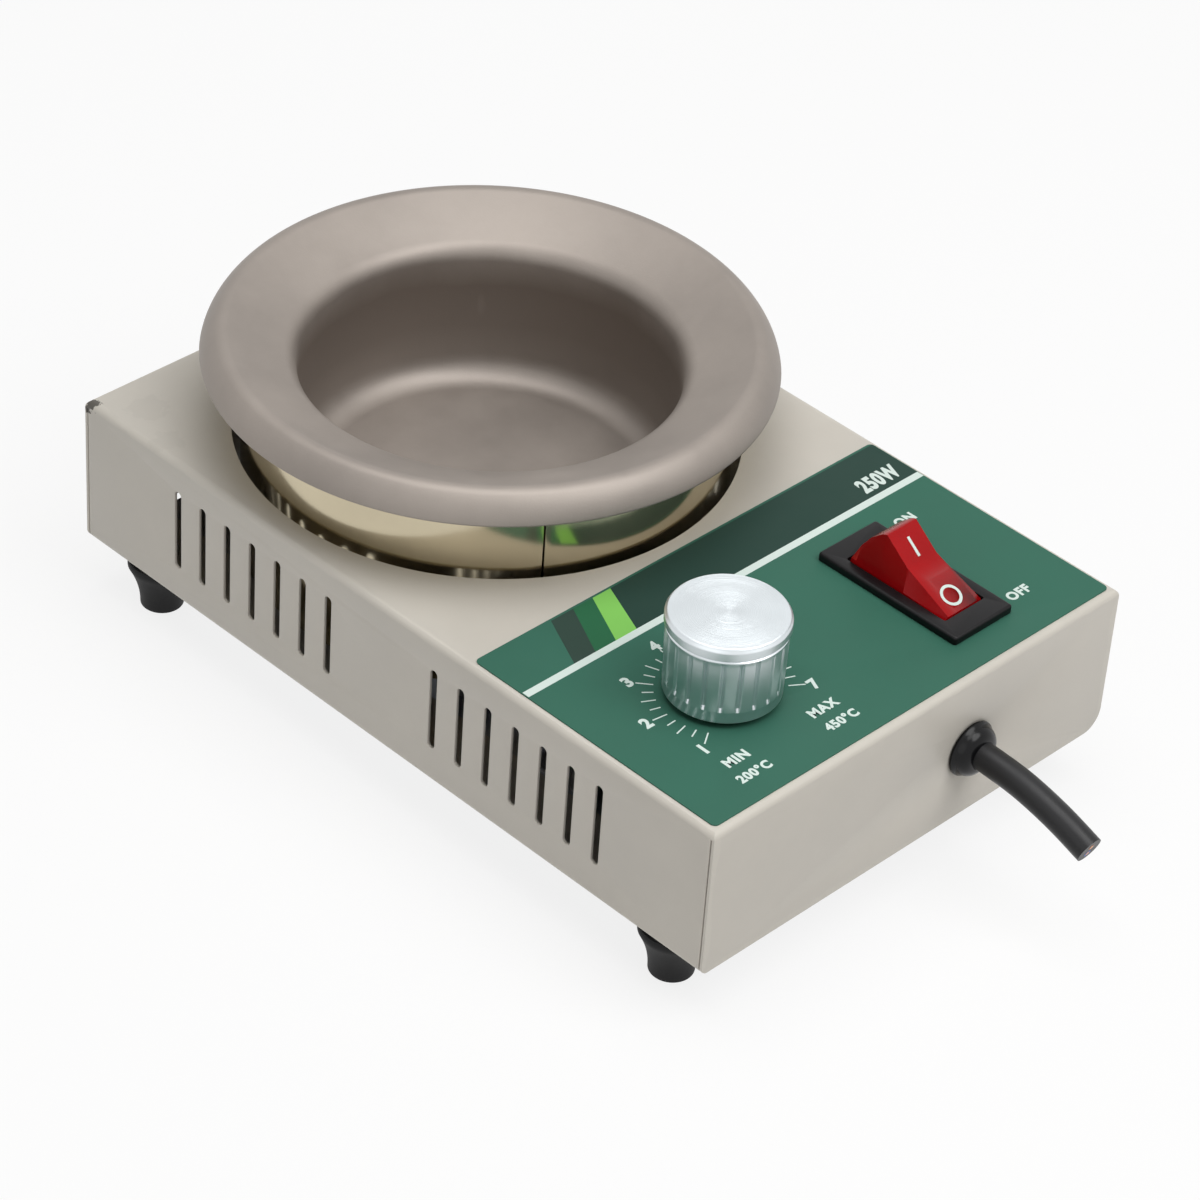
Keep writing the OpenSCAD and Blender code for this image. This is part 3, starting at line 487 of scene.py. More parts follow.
def blastedSteel():
    # matt blasted steel, darker down the inner wall from a slight tint plus painted shade, with a few fine scratches
    look = dict(steel="968E87", wallTintAndShade="7A7068", roughness=0.52, metallic=0.6)
    finish = Finish("potSteel", shade(look["steel"]), look["roughness"], look["metallic"])
    finish.set("Specular IOR Level", 0.3)
    node, tone = finish.grain(2600, 48, 0.45, 0.00004, 0.05, 0.1)
    split = finish.add("SeparateXYZ")
    coords = finish.add("TexCoord")
    finish.link(coords.outputs["Object"], split.inputs[0])
    height = finish.add("Math", operation="MULTIPLY_ADD")
    height.inputs[1].default_value = 0.004
    finish.link(node.outputs["Cloud"], height.inputs[0])
    finish.link(split.outputs["Z"], height.inputs[2])
    low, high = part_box("pot")
    # a band of painted shade with a slight tint, down the inner wall inside the mouth's radius
    wall = finish.add("ValToRGB")
    setRamp(wall, (0.12, 0.0), (0.36, 0.7), (0.62, 1.0), (0.8, 0.1), (0.9, 0.0))
    finish.link(finish.mapRange(height.outputs[0], 0, 1, low.z + 0.002, high.z + 0.002), wall.inputs["Fac"])
    radius = finish.group(ringGroup, Centre=middleOf("pot"), Scale=1.0)
    inside = finish.mapRange(radius.outputs["Radius"], 1, 0, 0.0362, 0.039)
    shadeAmount = finish.add("Math", operation="MULTIPLY")
    finish.link(wall.outputs["Color"], shadeAmount.inputs[0])
    finish.link(inside, shadeAmount.inputs[1])
    # mixes in the darker colour: a slight tint plus painted shade
    tone = finish.mix(shadeAmount.outputs[0], tone, shade(look["wallTintAndShade"]))
    scratch = finish.group(scratchGroup, Scale=40.0, Amount=0.16)
    tone = finish.mix(scratch.outputs["Mask"], tone, shade("D8D2CA"))
    finish.link(tone, finish.shader.inputs["Base Color"])
    return finish.material


def turnedFinish(name, hexColor, roughness, centre, rings=2600.0, strength=0.25, distance=0.00002, tones=0.06,
                 above=None):
    # bright metal with turning marks round a vertical axis, on its top alone where above is given
    finish = Finish(name, shade(hexColor), roughness, 1.0)
    node, tone = finish.grain(1800, 55, 0.05, 0.00001, 0.05, tones)
    ring = finish.group(ringGroup, Centre=centre, Scale=rings)
    height = ring.outputs["Height"]
    if above is not None:
        split = finish.add("SeparateXYZ")
        coords = finish.add("TexCoord")
        only = finish.add("Math", operation="MULTIPLY")
        finish.link(coords.outputs["Object"], split.inputs[0])
        finish.link(finish.mapRange(split.outputs["Z"], 0, 1, above - 0.0001, above), only.inputs[0])
        finish.link(height, only.inputs[1])
        height = only.outputs[0]
    finish.bump(height, strength, distance)
    return finish.material


def scratchedFinish(name, hexColor, roughness, scale=70.0, amount=0.5, tones=0.06, lighter="FFFFFF", **sockets):
    # satin surface with fine scratches
    finish = Finish(name, shade(hexColor), roughness, sockets.pop("metallic", 0.0))
    for label, value in sockets.items():
        finish.set(label.replace("_", " "), value)
    node, tone = finish.grain(2400, 50, 0.1, 0.00002, 0.07, tones)
    scratch = finish.group(scratchGroup, Scale=scale, Amount=amount)
    finish.link(finish.mix(scratch.outputs["Mask"], tone, shade(lighter)), finish.shader.inputs["Base Color"])
    return finish.material


potAxis = middleOf("pot")
dialAxis = middleOf("knob")

materialFor = dict(
    cover_paint=paintedSteel(),
    zinc_plate=scratchedFinish("zincPlate", "B9BBBD", 0.38, 55.0, 0.35, 0.07, metallic=1.0),
    panel_print=scratchedFinish("panelFilm", "346454", 0.6, 80.0, 0.05, 0.05, "6E9685", Specular_IOR_Level=0.2),
    pot_steel=blastedSteel(),
    # the shell band's beige colour is a painted reflection of the beige surroundings on polished steel
    polished_steel=turnedFinish("polishedSteelBeigeReflection", "C4B99F", 0.15, potAxis, 900.0, 0.06, 0.00001),
    screw_steel=turnedFinish("screwSteel", "C4C4C6", 0.28, potAxis, 900.0, 0.04, 0.00001),
    mica=plainFinish("mica", "CFC5AE", 0.35, cloud=120, tones=0.12),
    ceramic_fibre=plainFinish("ceramicFibre", "EEECE6", 0.95, fine=900, strength=0.6, distance=0.0002),
    sheet_aluminium=plainFinish("sheetAluminium", "D9DADC", 0.4, 1.0, cloud=80),
    circuit_board=plainFinish("circuitBoard", "2E7045", 0.35, cloud=150, tones=0.1),
    red_plastic=plainFinish("redPlastic", "BC3029", 0.3, tones=0.04),
    copper_wire=plainFinish("copperWire", "CE8A55", 0.3, 1.0, fine=1200, strength=0.4),
    resistor_body=plainFinish("resistorBody", "D3BF94", 0.45, tones=0.05),
    ceramic=plainFinish("ceramic", "EBE6DA", 0.35, tones=0.03),
    turned_aluminium=turnedFinish("turnedAluminium", "D6DCDF", 0.32, dialAxis, 8000.0, 1.0, 0.00005,
                                  above=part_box("knob")[1].z - 0.0002),
    black_plastic=plainFinish("blackPlastic", "0C0B0D", 0.42, fine=3500, strength=0.2, tones=0.1, Specular_IOR_Level=0.22),
    brass_blades=plainFinish("brassBlades", "DCC27C", 0.3, 1.0, tones=0.06),
    lamp_glass=plainFinish("lampGlass", "F6D9BE", 0.1, fine=500, strength=0.02),
    rocker_red=plainFinish("rockerRed", "AA080E", 0.2, fine=1500, strength=0.04, spread=0.04, tones=0.12,
                           Transmission_Weight=0.15, IOR=1.49, Specular_IOR_Level=0.14),
    bushing_plastic=plainFinish("bushingPlastic", "09090B", 0.2, fine=2500, strength=0.06, tones=0.08, Specular_IOR_Level=0.24),
    cord_sheath=plainFinish("cordSheath", "161618", 0.4, fine=2600, strength=0.25, tones=0.1, Specular_IOR_Level=0.35),
    brown_sleeve=plainFinish("brownSleeve", "6E4426", 0.4, tones=0.05),
    blue_sleeve=plainFinish("blueSleeve", "2C5CA8", 0.4, tones=0.05),
    glass_sleeve=plainFinish("glassSleeve", "E4DDC8", 0.7, fine=1500, strength=0.5, distance=0.0001),
    foot_rubber=plainFinish("footRubber", "080809", 0.6, fine=2200, strength=0.35, distance=0.00005, tones=0.12,
                            Specular_IOR_Level=0.3),
)
printColors = dict(darkStrip="223C34", darkBlock="2E423A", midBlock="266141", brightBlock="7FC25C",
                   whiteInk="D2E0DA")
inkFor = {key: plainFinish(key, value, 0.6, strength=0.05, tones=0.03, Specular_IOR_Level=0.2) for key, value in printColors.items()}
slotOf = {part["node"]: part["material_slot"] for part in frame["record"]["subparts"]}
for node, thing in frame["nodes"].items():
    thing.data.materials.clear()
    thing.data.materials.append(materialFor[slotOf[node]])
print("materials ready")

coverLook = dict(sheet=0.6, bend=1.4, lip=15.5, slit=0.25, slots=7, pitch=6.6, gap=26.6, slotWidth=1.7,
                 slotLength=16.6, slotRise=7.3, opening=91.1, openingBack=27.0, worn=4.0, feetSide=7.0,
                 feetEnd=12.8, dialHole=7.4, dialLeft=23.0, dialBack=24.8, switchRight=23.1, switchBack=23.6,
                 switchHole=(12.6, 28.2), cordHole=8.4, cordRight=13.3, cordRise=14.5)


def foldEdges(bm, top):
    # a block's four top edges and its two long lower ones
    def bent(e):
        a, b = (v.co for v in e.verts)
        return max(abs(a.z - top), abs(b.z - top)) < 1e-6 or abs(a.x - b.x) < 1e-6 and abs(a.y - b.y) > 0.01
    return [e for e in bm.edges if bent(e)]


def coverShell():
    look = coverLook
    bm = bmesh.new()
    addBlock(bm, caseLow, caseHigh)
    roundEdges(bm, foldEdges(bm, caseTop), look["bend"] * mm, 6)
    cover = makePiece("cover_shell", bm, materialFor["cover_paint"], "housing",
                      ("cover",), 40)

    inner = bmesh.new()
    inset = Vector((1, 1, 1)) * look["sheet"] * mm
    addBlock(inner, caseLow + inset, caseHigh - inset)
    roundEdges(inner, foldEdges(inner, caseTop - inset.z), (look["bend"] - look["sheet"]) * mm, 3)
    inner = makeCutter("inner", inner)

    cuts = bmesh.new()
    out = 3 * mm
    # the open bottom between the lips
    addBlock(cuts, Vector((caseLow.x + look["lip"] * mm, caseLow.y + inset.y, caseLow.z - out)),
             Vector((caseHigh.x - look["lip"] * mm, caseHigh.y - inset.y, caseLow.z + inset.z + out)))
    openings = makeCutter("openings", cuts)

    cuts = bmesh.new()
    # slits that part the end flanges from the sides
    for endY, inward in ((caseLow.y, 1), (caseHigh.y, -1)):
        near, far = endY + inward * inset.y, endY + inward * (inset.y + look["slit"] * mm)
        for lowX, highX in ((caseLow.x - out, caseLow.x + look["lip"] * mm - 0.3 * mm),
                            (caseHigh.x - look["lip"] * mm + 0.3 * mm, caseHigh.x + out)):
            addBlock(cuts, Vector((lowX, min(near, far), caseLow.z - out)),
                     Vector((highX, max(near, far), caseTop - look["bend"] * mm)))
    slits = makeCutter("slits", cuts)

    cuts = bmesh.new()
    half = look["slotWidth"] / 2 * mm
    for group in (-1, 1):
        for k in range(look["slots"]):
            y = group * (look["gap"] / 2 + k * look["pitch"]) * mm
            low = caseLow.z + look["slotRise"] * mm
            high = low + look["slotLength"] * mm
            for wall in (caseLow.x, caseHigh.x):
                made = addBlock(cuts, Vector((wall - 2 * mm, y - half, low)),
                                Vector((wall + 2 * mm, y + half, high)))
                ends = {e for v in made for e in v.link_edges
                        if abs(e.verts[0].co.x - e.verts[1].co.x) > 1e-3}
                roundEdges(cuts, ends, half * 0.98, 4)
    slots = makeCutter("slots", cuts)

    cuts = bmesh.new()
    middle = (caseLow + caseHigh) / 2
    addRod(cuts, Vector((middle.x, look["openingBack"] * mm, caseTop - 5 * mm)),
                 Vector((middle.x, look["openingBack"] * mm, caseTop + out)), look["opening"] / 2 * mm, 160)
    dialAt = Vector((-look["dialLeft"] * mm, caseLow.y + look["dialBack"] * mm, 0))
    addRod(cuts, dialAt + axisZ * (caseTop - out), dialAt + axisZ * (caseTop + out), look["dialHole"] / 2 * mm)
    width, length = (s / 2 * mm for s in look["switchHole"])
    switchAt = Vector((look["switchRight"] * mm, caseLow.y + look["switchBack"] * mm, 0))
    addBlock(cuts, switchAt + Vector((-width, -length, caseTop - out)),
             switchAt + Vector((width, length, caseTop + out)))
    cordAt = Vector((look["cordRight"] * mm, caseLow.y, caseLow.z + look["cordRise"] * mm))
    addRod(cuts, cordAt - axisY * out, cordAt + axisY * out, look["cordHole"] / 2 * mm, 48)
    for sx in (-1, 1):
        for sy in (-1, 1):
            at = Vector((sx * (caseHigh.x - look["feetSide"] * mm),
                         sy * (caseHigh.y - look["feetEnd"] * mm), 0))
            addRod(cuts, at + axisZ * (caseLow.z - out), at + axisZ * (caseLow.z + out), 1.7 * mm)
    holes = makeCutter("holes", cuts)

    # the worn lower corner of the front flange, at the right
    cuts = bmesh.new()
    worn = look["worn"] * mm
    corner = Vector((caseHigh.x, caseLow.y, caseLow.z))
    addBlock(cuts, corner + Vector((-worn, -out, -out)), corner + Vector((out, inset.y + 0.2 * mm, worn)))
    wornBlock = makeCutter("wornBlock", cuts)
    cuts = bmesh.new()
    pivot = corner + Vector((-worn, 0, worn))
    addRod(cuts, pivot - axisY * 2 * out, pivot + axisY * 2 * out, worn, 64)
    wornRod = makeCutter("wornRod", cuts)
    cutWith(wornBlock, wornRod)

    for cutter in (inner, openings, slits, slots, holes, wornBlock):
        cutWith(cover, cutter)
    applyModifiers(cover)
    for cutter in (inner, openings, slits, slots, holes, wornBlock, wornRod):
        bpy.data.objects.remove(cutter)
    softEdges(cover, 0.12 * mm, 50, 2)
    applyModifiers(cover)
    cover.data.set_sharp_from_angle(angle=math.radians(40))
    return cover


def makeCutter(name, bm):
    bmesh.ops.recalc_face_normals(bm, faces=bm.faces)
    mesh = bpy.data.meshes.new("cut_" + name)
    bm.to_mesh(mesh)
    bm.free()
    cutter = bpy.data.objects.new("cut_" + name, mesh)
    scene.collection.objects.link(cutter)
    return cutter


coverShell()
print("cover folded")

panelLook = dict(thick=0.25, corner=1.0, lineFront=44.3, lineBack=45.8, stripBack=55.8,
                 dialHole=12.5, switchHole=(12.6, 28.2))


def panelFilm():
    look = panelLook
    bm = bmesh.new()
    addBlock(bm, panelLow, panelHigh)
    roundEdges(bm, upright(bm), look["corner"] * mm, 6)
    film = makePiece("panel_film", bm, materialFor["panel_print"], "housing", ("panel",), 30)
    cuts = bmesh.new()
    dialAt = middleOf("knob")
    addRod(cuts, Vector((dialAt.x, dialAt.y, caseTop - mm)), Vector((dialAt.x, dialAt.y, caseTop + mm)),
           look["dialHole"] / 2 * mm, 48)
    width, length = (s / 2 * mm for s in look["switchHole"])
    bodyAt = middleOf("switch_body")
    addBlock(cuts, Vector((bodyAt.x - width, bodyAt.y - length, caseTop - mm)),
             Vector((bodyAt.x + width, bodyAt.y + length, caseTop + mm)))
    cutter = makeCutter("panel", cuts)
    cutWith(film, cutter)
    softEdges(film, 0.05 * mm, 50, 2)
    applyModifiers(film)
    bpy.data.objects.remove(cutter)


def inkPatch(name, corners, ink, height=0.02):
    # a thin patch of ink on the panel, corners in millimetres from the case's front left corner
    bm = bmesh.new()
    extrudePlate(bm, [onCase(x, y, panelLook["thick"] - 0.01) for x, y in corners], height * mm + 0.01 * mm)
    return makePiece(name, bm, inkFor[ink], "housing")


def panelStrips():
    look = panelLook
    left, right = (panelLow.x - caseLow.x) / mm + 0.15, (panelHigh.x - caseLow.x) / mm - 0.15
    low, high = look["lineBack"], look["stripBack"] + 0.9
    starts = [(13.5, 18.6), (18.4, 23.8), (23.2, 28.4), (28.1, 32.6), (right, right)]
    inks = ["darkBlock", "midBlock", "brightBlock", "darkStrip"]
    for ink, (x0, x1), (x2, x3) in zip(inks, starts, starts[1:]):
        inkPatch("ink_" + ink, [(x0, low), (x2, low), (x3, high), (x1, high)], ink)
    inkPatch("ink_line", [(left, look["lineFront"]), (right, look["lineFront"]), (right, low), (left, low)],
             "whiteInk", 0.03)


dialPrint = dict(centre=(27.0, 24.8), step=10.25, numbers=7, numberRadius=15.7, longTick=14.3, mediumTick=13.9,
                 tickStart=11.35, shortTick=13.3, tickWidth=0.25, start=213, capHeight=2.652)
labels = [("MIN", 16.2, 11.1, 2.5), ("200°C", 16.05, 6.9, 2.5), ("MAX", 36.7, 10.9, 2.5),
          ("450°C", 36.65, 6.8, 2.5), ("ON", 86.0, 37.6, 2.6), ("OFF", 85.4, 10.7, 2.6)]
ratingLabel = dict(words="250W", place=(91.5, 48.9), capHeight=3.888, stretch=0.7, slant=0.12, bold=0.42)


def stampWords(name, words, x, y, capHeight, stretch=0.98, slant=0.0, bold=0.38, rest=0.03):
    # words as thin raised ink, centred on a point of the panel
    font = bpy.data.curves.new(name, "FONT")
    font.body = words
    font.align_x = "CENTER"
    font.align_y = "CENTER"
    font.size = 1.0
    font.offset = bold * 0.12
    font.shear = slant
    font.space_character = 1.12
    font.extrude = 0.004
    font.resolution_u = 4
    holder = bpy.data.objects.new(name, font)
    scene.collection.objects.link(holder)
    graph = bpy.context.evaluated_depsgraph_get()
    mesh = bpy.data.meshes.new_from_object(holder.evaluated_get(graph))
    bpy.data.objects.remove(holder)
    xs = [v.co.x for v in mesh.vertices]
    ys = [v.co.y for v in mesh.vertices]
    middle = Vector(((min(xs) + max(xs)) / 2, (min(ys) + max(ys)) / 2, 0))
    scale = capHeight * mm / (max(ys) - min(ys))
    mesh.transform(Matrix.Translation(onCase(x, y, panelLook["thick"] + rest * 0.5))
                   @ Matrix.Diagonal((scale * stretch, scale, rest * mm / 0.008, 1))
                   @ Matrix.Translation(-middle))
    mesh.materials.clear()
    mesh.materials.append(inkFor["whiteInk"])
    piece = bpy.data.objects.new(name, mesh)
    scene.collection.objects.link(piece)
    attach(piece, "housing")
    return piece


def dialMarks():
    look = dialPrint
    cx, cy = look["centre"]
    bm = bmesh.new()
    for k in range((look["numbers"] - 1) * 4 + 1):
        angle = math.radians(look["start"] - k * look["step"])
        reach = (look["longTick"], look["shortTick"], look["mediumTick"], look["shortTick"])[k % 4]
        out, side = Vector((math.cos(angle), math.sin(angle))), Vector((-math.sin(angle), math.cos(angle)))
        centre, half = Vector((cx, cy)), look["tickWidth"] / 2
        corners = [centre + out * r + side * s for r, s in
                   ((look["tickStart"], half), (look["tickStart"], -half), (reach, -half), (reach, half))]
        extrudePlate(bm, [onCase(p.x, p.y, panelLook["thick"] - 0.01) for p in corners], 0.04 * mm)
    makePiece("dial_ticks", bm, inkFor["whiteInk"], "housing")
    for n in range(1, look["numbers"] + 1):
        angle = math.radians(90 + 41 * (4 - n))
        stampWords("dial_number_%d" % n, str(n), cx + look["numberRadius"] * math.cos(angle),
                   cy + look["numberRadius"] * math.sin(angle), look["capHeight"])


panelFilm()
panelStrips()
dialMarks()
for i, (words, x, y, height) in enumerate(labels):
    stampWords("label_%d" % i, words, x, y, height * 0.86)
stampWords("rating_label", ratingLabel["words"], *ratingLabel["place"], ratingLabel["capHeight"],
           ratingLabel["stretch"], ratingLabel["slant"], ratingLabel["bold"])
print("panel printed")

potLook = dict(rim=102.6, mouth=68.4, depth=27.6, sheet=1.2, slope=24, skirt=7.5, brow=2.5, mouthRound=4.0,
               fillet=5.0, skirtLow=8, skirtHigh=50, back=27.0, rise=15.0, steps=192)


def potOutline(look, lip, o):
    # the pot's section from the lip's edge to its axis, moved in by o from the outer face
    def at(c, r, a):
        return (c[0] + r * math.cos(math.radians(a)), c[1] + r * math.sin(math.radians(a)))
    slope = math.radians(look["slope"])
    lowC = at((look["rim"] / 2, lip), -look["skirt"], look["skirtLow"])
    browC = at(lowC, look["skirt"] - look["brow"], look["skirtHigh"])
    browEnd = at(browC, look["brow"], 90 + look["slope"])
    wall = look["mouth"] / 2
    mouthX = wall + look["mouthRound"] * (1 - math.sin(slope))
    mouthZ = browEnd[1] - (browEnd[0] - mouthX) * math.tan(slope)
    mouthC = (wall + look["mouthRound"], mouthZ - look["mouthRound"] * math.cos(slope))
    floor = lip - look["depth"]
    filletC = (wall - look["fillet"], floor + look["fillet"])
    return (arc(lowC, look["skirt"] - o, look["skirtLow"], look["skirtHigh"], 12)
            + arc(browC, look["brow"] - o, look["skirtHigh"], 90 + look["slope"], 12)
            + arc(mouthC, look["mouthRound"] - o, 90 + look["slope"], 180, 12)
            + arc(filletC, look["fillet"] + o, 0, -90, 12) + [(0, floor - o)])


def formedPot():
    look = potLook
    lip = caseTop / mm + look["rise"]
    outline = potOutline(look, lip, 0) + potOutline(look, lip, look["sheet"])[::-1]
    bm = bmesh.new()
    centre = Vector((0, look["back"] * mm, 0))
    spinOutline(bm, [(r * mm, h * mm) for r, h in outline], centre, look["steps"], closed=True)
    loose = [e for e in bm.edges if not e.link_faces]
    bmesh.ops.delete(bm, geom=loose, context="EDGES")
    lips = [e for e in bm.edges if len(e.link_faces) == 2 and e.calc_face_angle(0) > 1.0]
    roundEdges(bm, lips, 0.3 * mm, 3)
    return makePiece("formed_pot", bm, materialFor["pot_steel"], "housing", ("pot",), 40)


shellLook = dict(outer=87.8, sheet=0.5, seam=-121.0, gap=0.3, steps=160)


def shellBand():
    look = shellLook
    low, high = (Vector(c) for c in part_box("shell"))
    centre = Vector((0, potLook["back"] * mm, 0))
    open_ = math.radians(360) * (1 - look["gap"] / (math.pi * look["outer"]))
    start = math.radians(look["seam"]) + (2 * math.pi - open_) / 2
    out = Vector((math.cos(start), math.sin(start), 0))
    r0, r1 = (look["outer"] / 2 - look["sheet"]) * mm, look["outer"] / 2 * mm
    bm = bmesh.new()
    corners = [(r0, low.z), (r1, low.z), (r1, high.z), (r0, high.z)]
    face = bm.faces.new([bm.verts.new(centre + out * r + axisZ * h) for r, h in corners])
    bmesh.ops.spin(bm, geom=[face] + list(face.edges) + list(face.verts), cent=centre, axis=axisZ,
                   angle=open_, steps=look["steps"], use_merge=False)
    loops = [e for e in bm.edges if len(e.link_faces) == 2 and e.calc_face_angle(0) > 1.0]
    roundEdges(bm, loops, 0.12 * mm, 2)
    return makePiece("shell_band", bm, materialFor["polished_steel"], "housing", ("shell",), 40)


formedPot()
shellBand()
print("pot and shell turned")

knobLook = dict(grooves=22, grooveDepth=0.45, perGroove=16, low=2.4, high=12.5,
                outline=[(8, 0), (9.75, 0), (10.05, 0.3), (10.05, 2.0), (10.12, 2.3), (10.13, 2.45), (10.14, 2.7),
                         (10.15, 3.2), (10.2, 5.5), (10.25, 8), (10.3, 10.5), (10.32, 11.8), (10.33, 12.2),
                         (10.34, 12.45), (10.35, 12.6), (10.35, 12.8), (10.15, 13.0), (10.15, 13.3), (10.5, 13.5),
                         (10.6, 13.6), (10.6, 14.85), (10.56, 15.0), (10.15, 15.62), (10.0, 15.7), (6, 15.7),
                         (0, 15.7), (0, 12.7), (8, 12.7)])


def flutedKnob():
    look = knobLook
    low = Vector(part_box("knob")[0])
    centre = Vector((dialAxis.x, dialAxis.y, low.z))
    bm = bmesh.new()
    steps = look["grooves"] * look["perGroove"]
    spinOutline(bm, [(r * mm, h * mm) for r, h in look["outline"]], centre, steps, closed=True)
    bmesh.ops.delete(bm, geom=[e for e in bm.edges if not e.link_faces], context="EDGES")
    pitch = 2 * math.pi / look["grooves"]
    for v in bm.verts:
        flat = Vector((v.co.x - centre.x, v.co.y - centre.y))
        height = (v.co.z - centre.z) / mm
        if flat.length < 9.4 * mm or not look["low"] - 0.2 < height < look["high"] + 0.05:
            continue
        turn = (math.atan2(flat.y, flat.x) % pitch) / pitch - 0.5  # 0 in a groove's middle
        fade = min(1, max(0, (height - look["low"]) / 1.0), max(0, (look["high"] + 0.05 - height) / 0.4))
        inset = 0
        if abs(turn) < 0.13:
            inset = look["grooveDepth"] * mm * math.cos(turn / 0.13 * math.pi / 2) ** 0.6
        else:
            chord = math.cos(pitch * 0.37) / math.cos((0.5 - abs(turn)) * pitch)
            inset = flat.length * (1 - chord) * 0.6
        factor = 1 - fade * inset / flat.length
        v.co.x, v.co.y = centre.x + flat.x * factor, centre.y + flat.y * factor
    return makePiece("fluted_knob", bm, materialFor["turned_aluminium"], "dial", ("knob",), 14)


flutedKnob()
print("knob fluted")

switchLook = dict(bezel=(14.7, 31.8, 1.6), body=(12.2, 27.8, 18.0), well=(10.0, 22.8, 9.4), pinHole=2.5,
                  edge=0.5, corner=0.6, wellCorner=0.4)
rockerLook = dict(width=9.5, topWidth=7.3, shoulder=3.3, hollow=(3.7, 9.4, 1.4), pin=2.4, crown=3.0, tilt=12.0,  # crown and tilt set the pivot's height
                  back=[(-10, 11.1), (5, 11.1), (20, 11.2), (35, 11.5), (50, 11.9), (64, 12.35), (67.5, 12.42),
                        (70, 12.35)],
                  fold=(-1.0, 7.5), front=[(165, 11.3), (168, 11.2), (180, 11.15), (192, 11.1)],
                  bar=(1.2, 3.8, 0.55), ring=(-8.1, 1.55, 2.1))
switchMiddle = middleOf("switch_body")


def switchPlace(x, y, z):
    return Vector((switchMiddle.x + x * mm, switchMiddle.y + y * mm, z * mm))


pivotZ = (caseTop / mm + panelLook["thick"] + switchLook["bezel"][2] - 0.2
          - rockerLook["crown"] * math.cos(math.radians(rockerLook["tilt"])))


def switchHousing():
    look = switchLook
    w, l, h = look["bezel"]
    base = caseTop / mm + panelLook["thick"]
    bm = bmesh.new()
    addBlock(bm, switchPlace(-w / 2, -l / 2, base), switchPlace(w / 2, l / 2, base + h))
    roundEdges(bm, upright(bm), look["corner"] * mm, 4)
    rim = [e for e in bm.edges if all(abs(v.co.z / mm - base - h) < 1e-3 for v in e.verts)]
    roundEdges(bm, rim, look["edge"] * mm, 4)
    piece = makePiece("switch_housing", bm, materialFor["black_plastic"], "housing",
                      ("switch_body",), 35)
    body = bmesh.new()
    w, l, depth = look["body"]
    addBlock(body, switchPlace(-w / 2, -l / 2, base - depth), switchPlace(w / 2, l / 2, base + 0.5))
    body = makeCutter("body", body)
    join = piece.modifiers.new("body", "BOOLEAN")
    join.operation = "UNION"
    join.solver = "EXACT"
    join.object = body
    w, l, depth = look["well"]
    well = bmesh.new()
    addBlock(well, switchPlace(-w / 2, -l / 2, base + h - depth), switchPlace(w / 2, l / 2, base + h + 2))
    roundEdges(well, upright(well), look["wellCorner"] * mm, 3)
    well = makeCutter("well", well)
    cutWith(piece, well)
    pin = bmesh.new()
    addRod(pin, switchPlace(-w / 2 - 0.8, 0, pivotZ), switchPlace(w / 2 + 0.8, 0, pivotZ),
           look["pinHole"] / 2 * mm, 48)
    pin = makeCutter("pin", pin)
    cutWith(piece, pin)
    softEdges(piece, 0.12 * mm, 50, 2)
    applyModifiers(piece)
    for cutter in (body, well, pin):
        bpy.data.objects.remove(cutter)
    piece.data.set_sharp_from_angle(angle=math.radians(35))


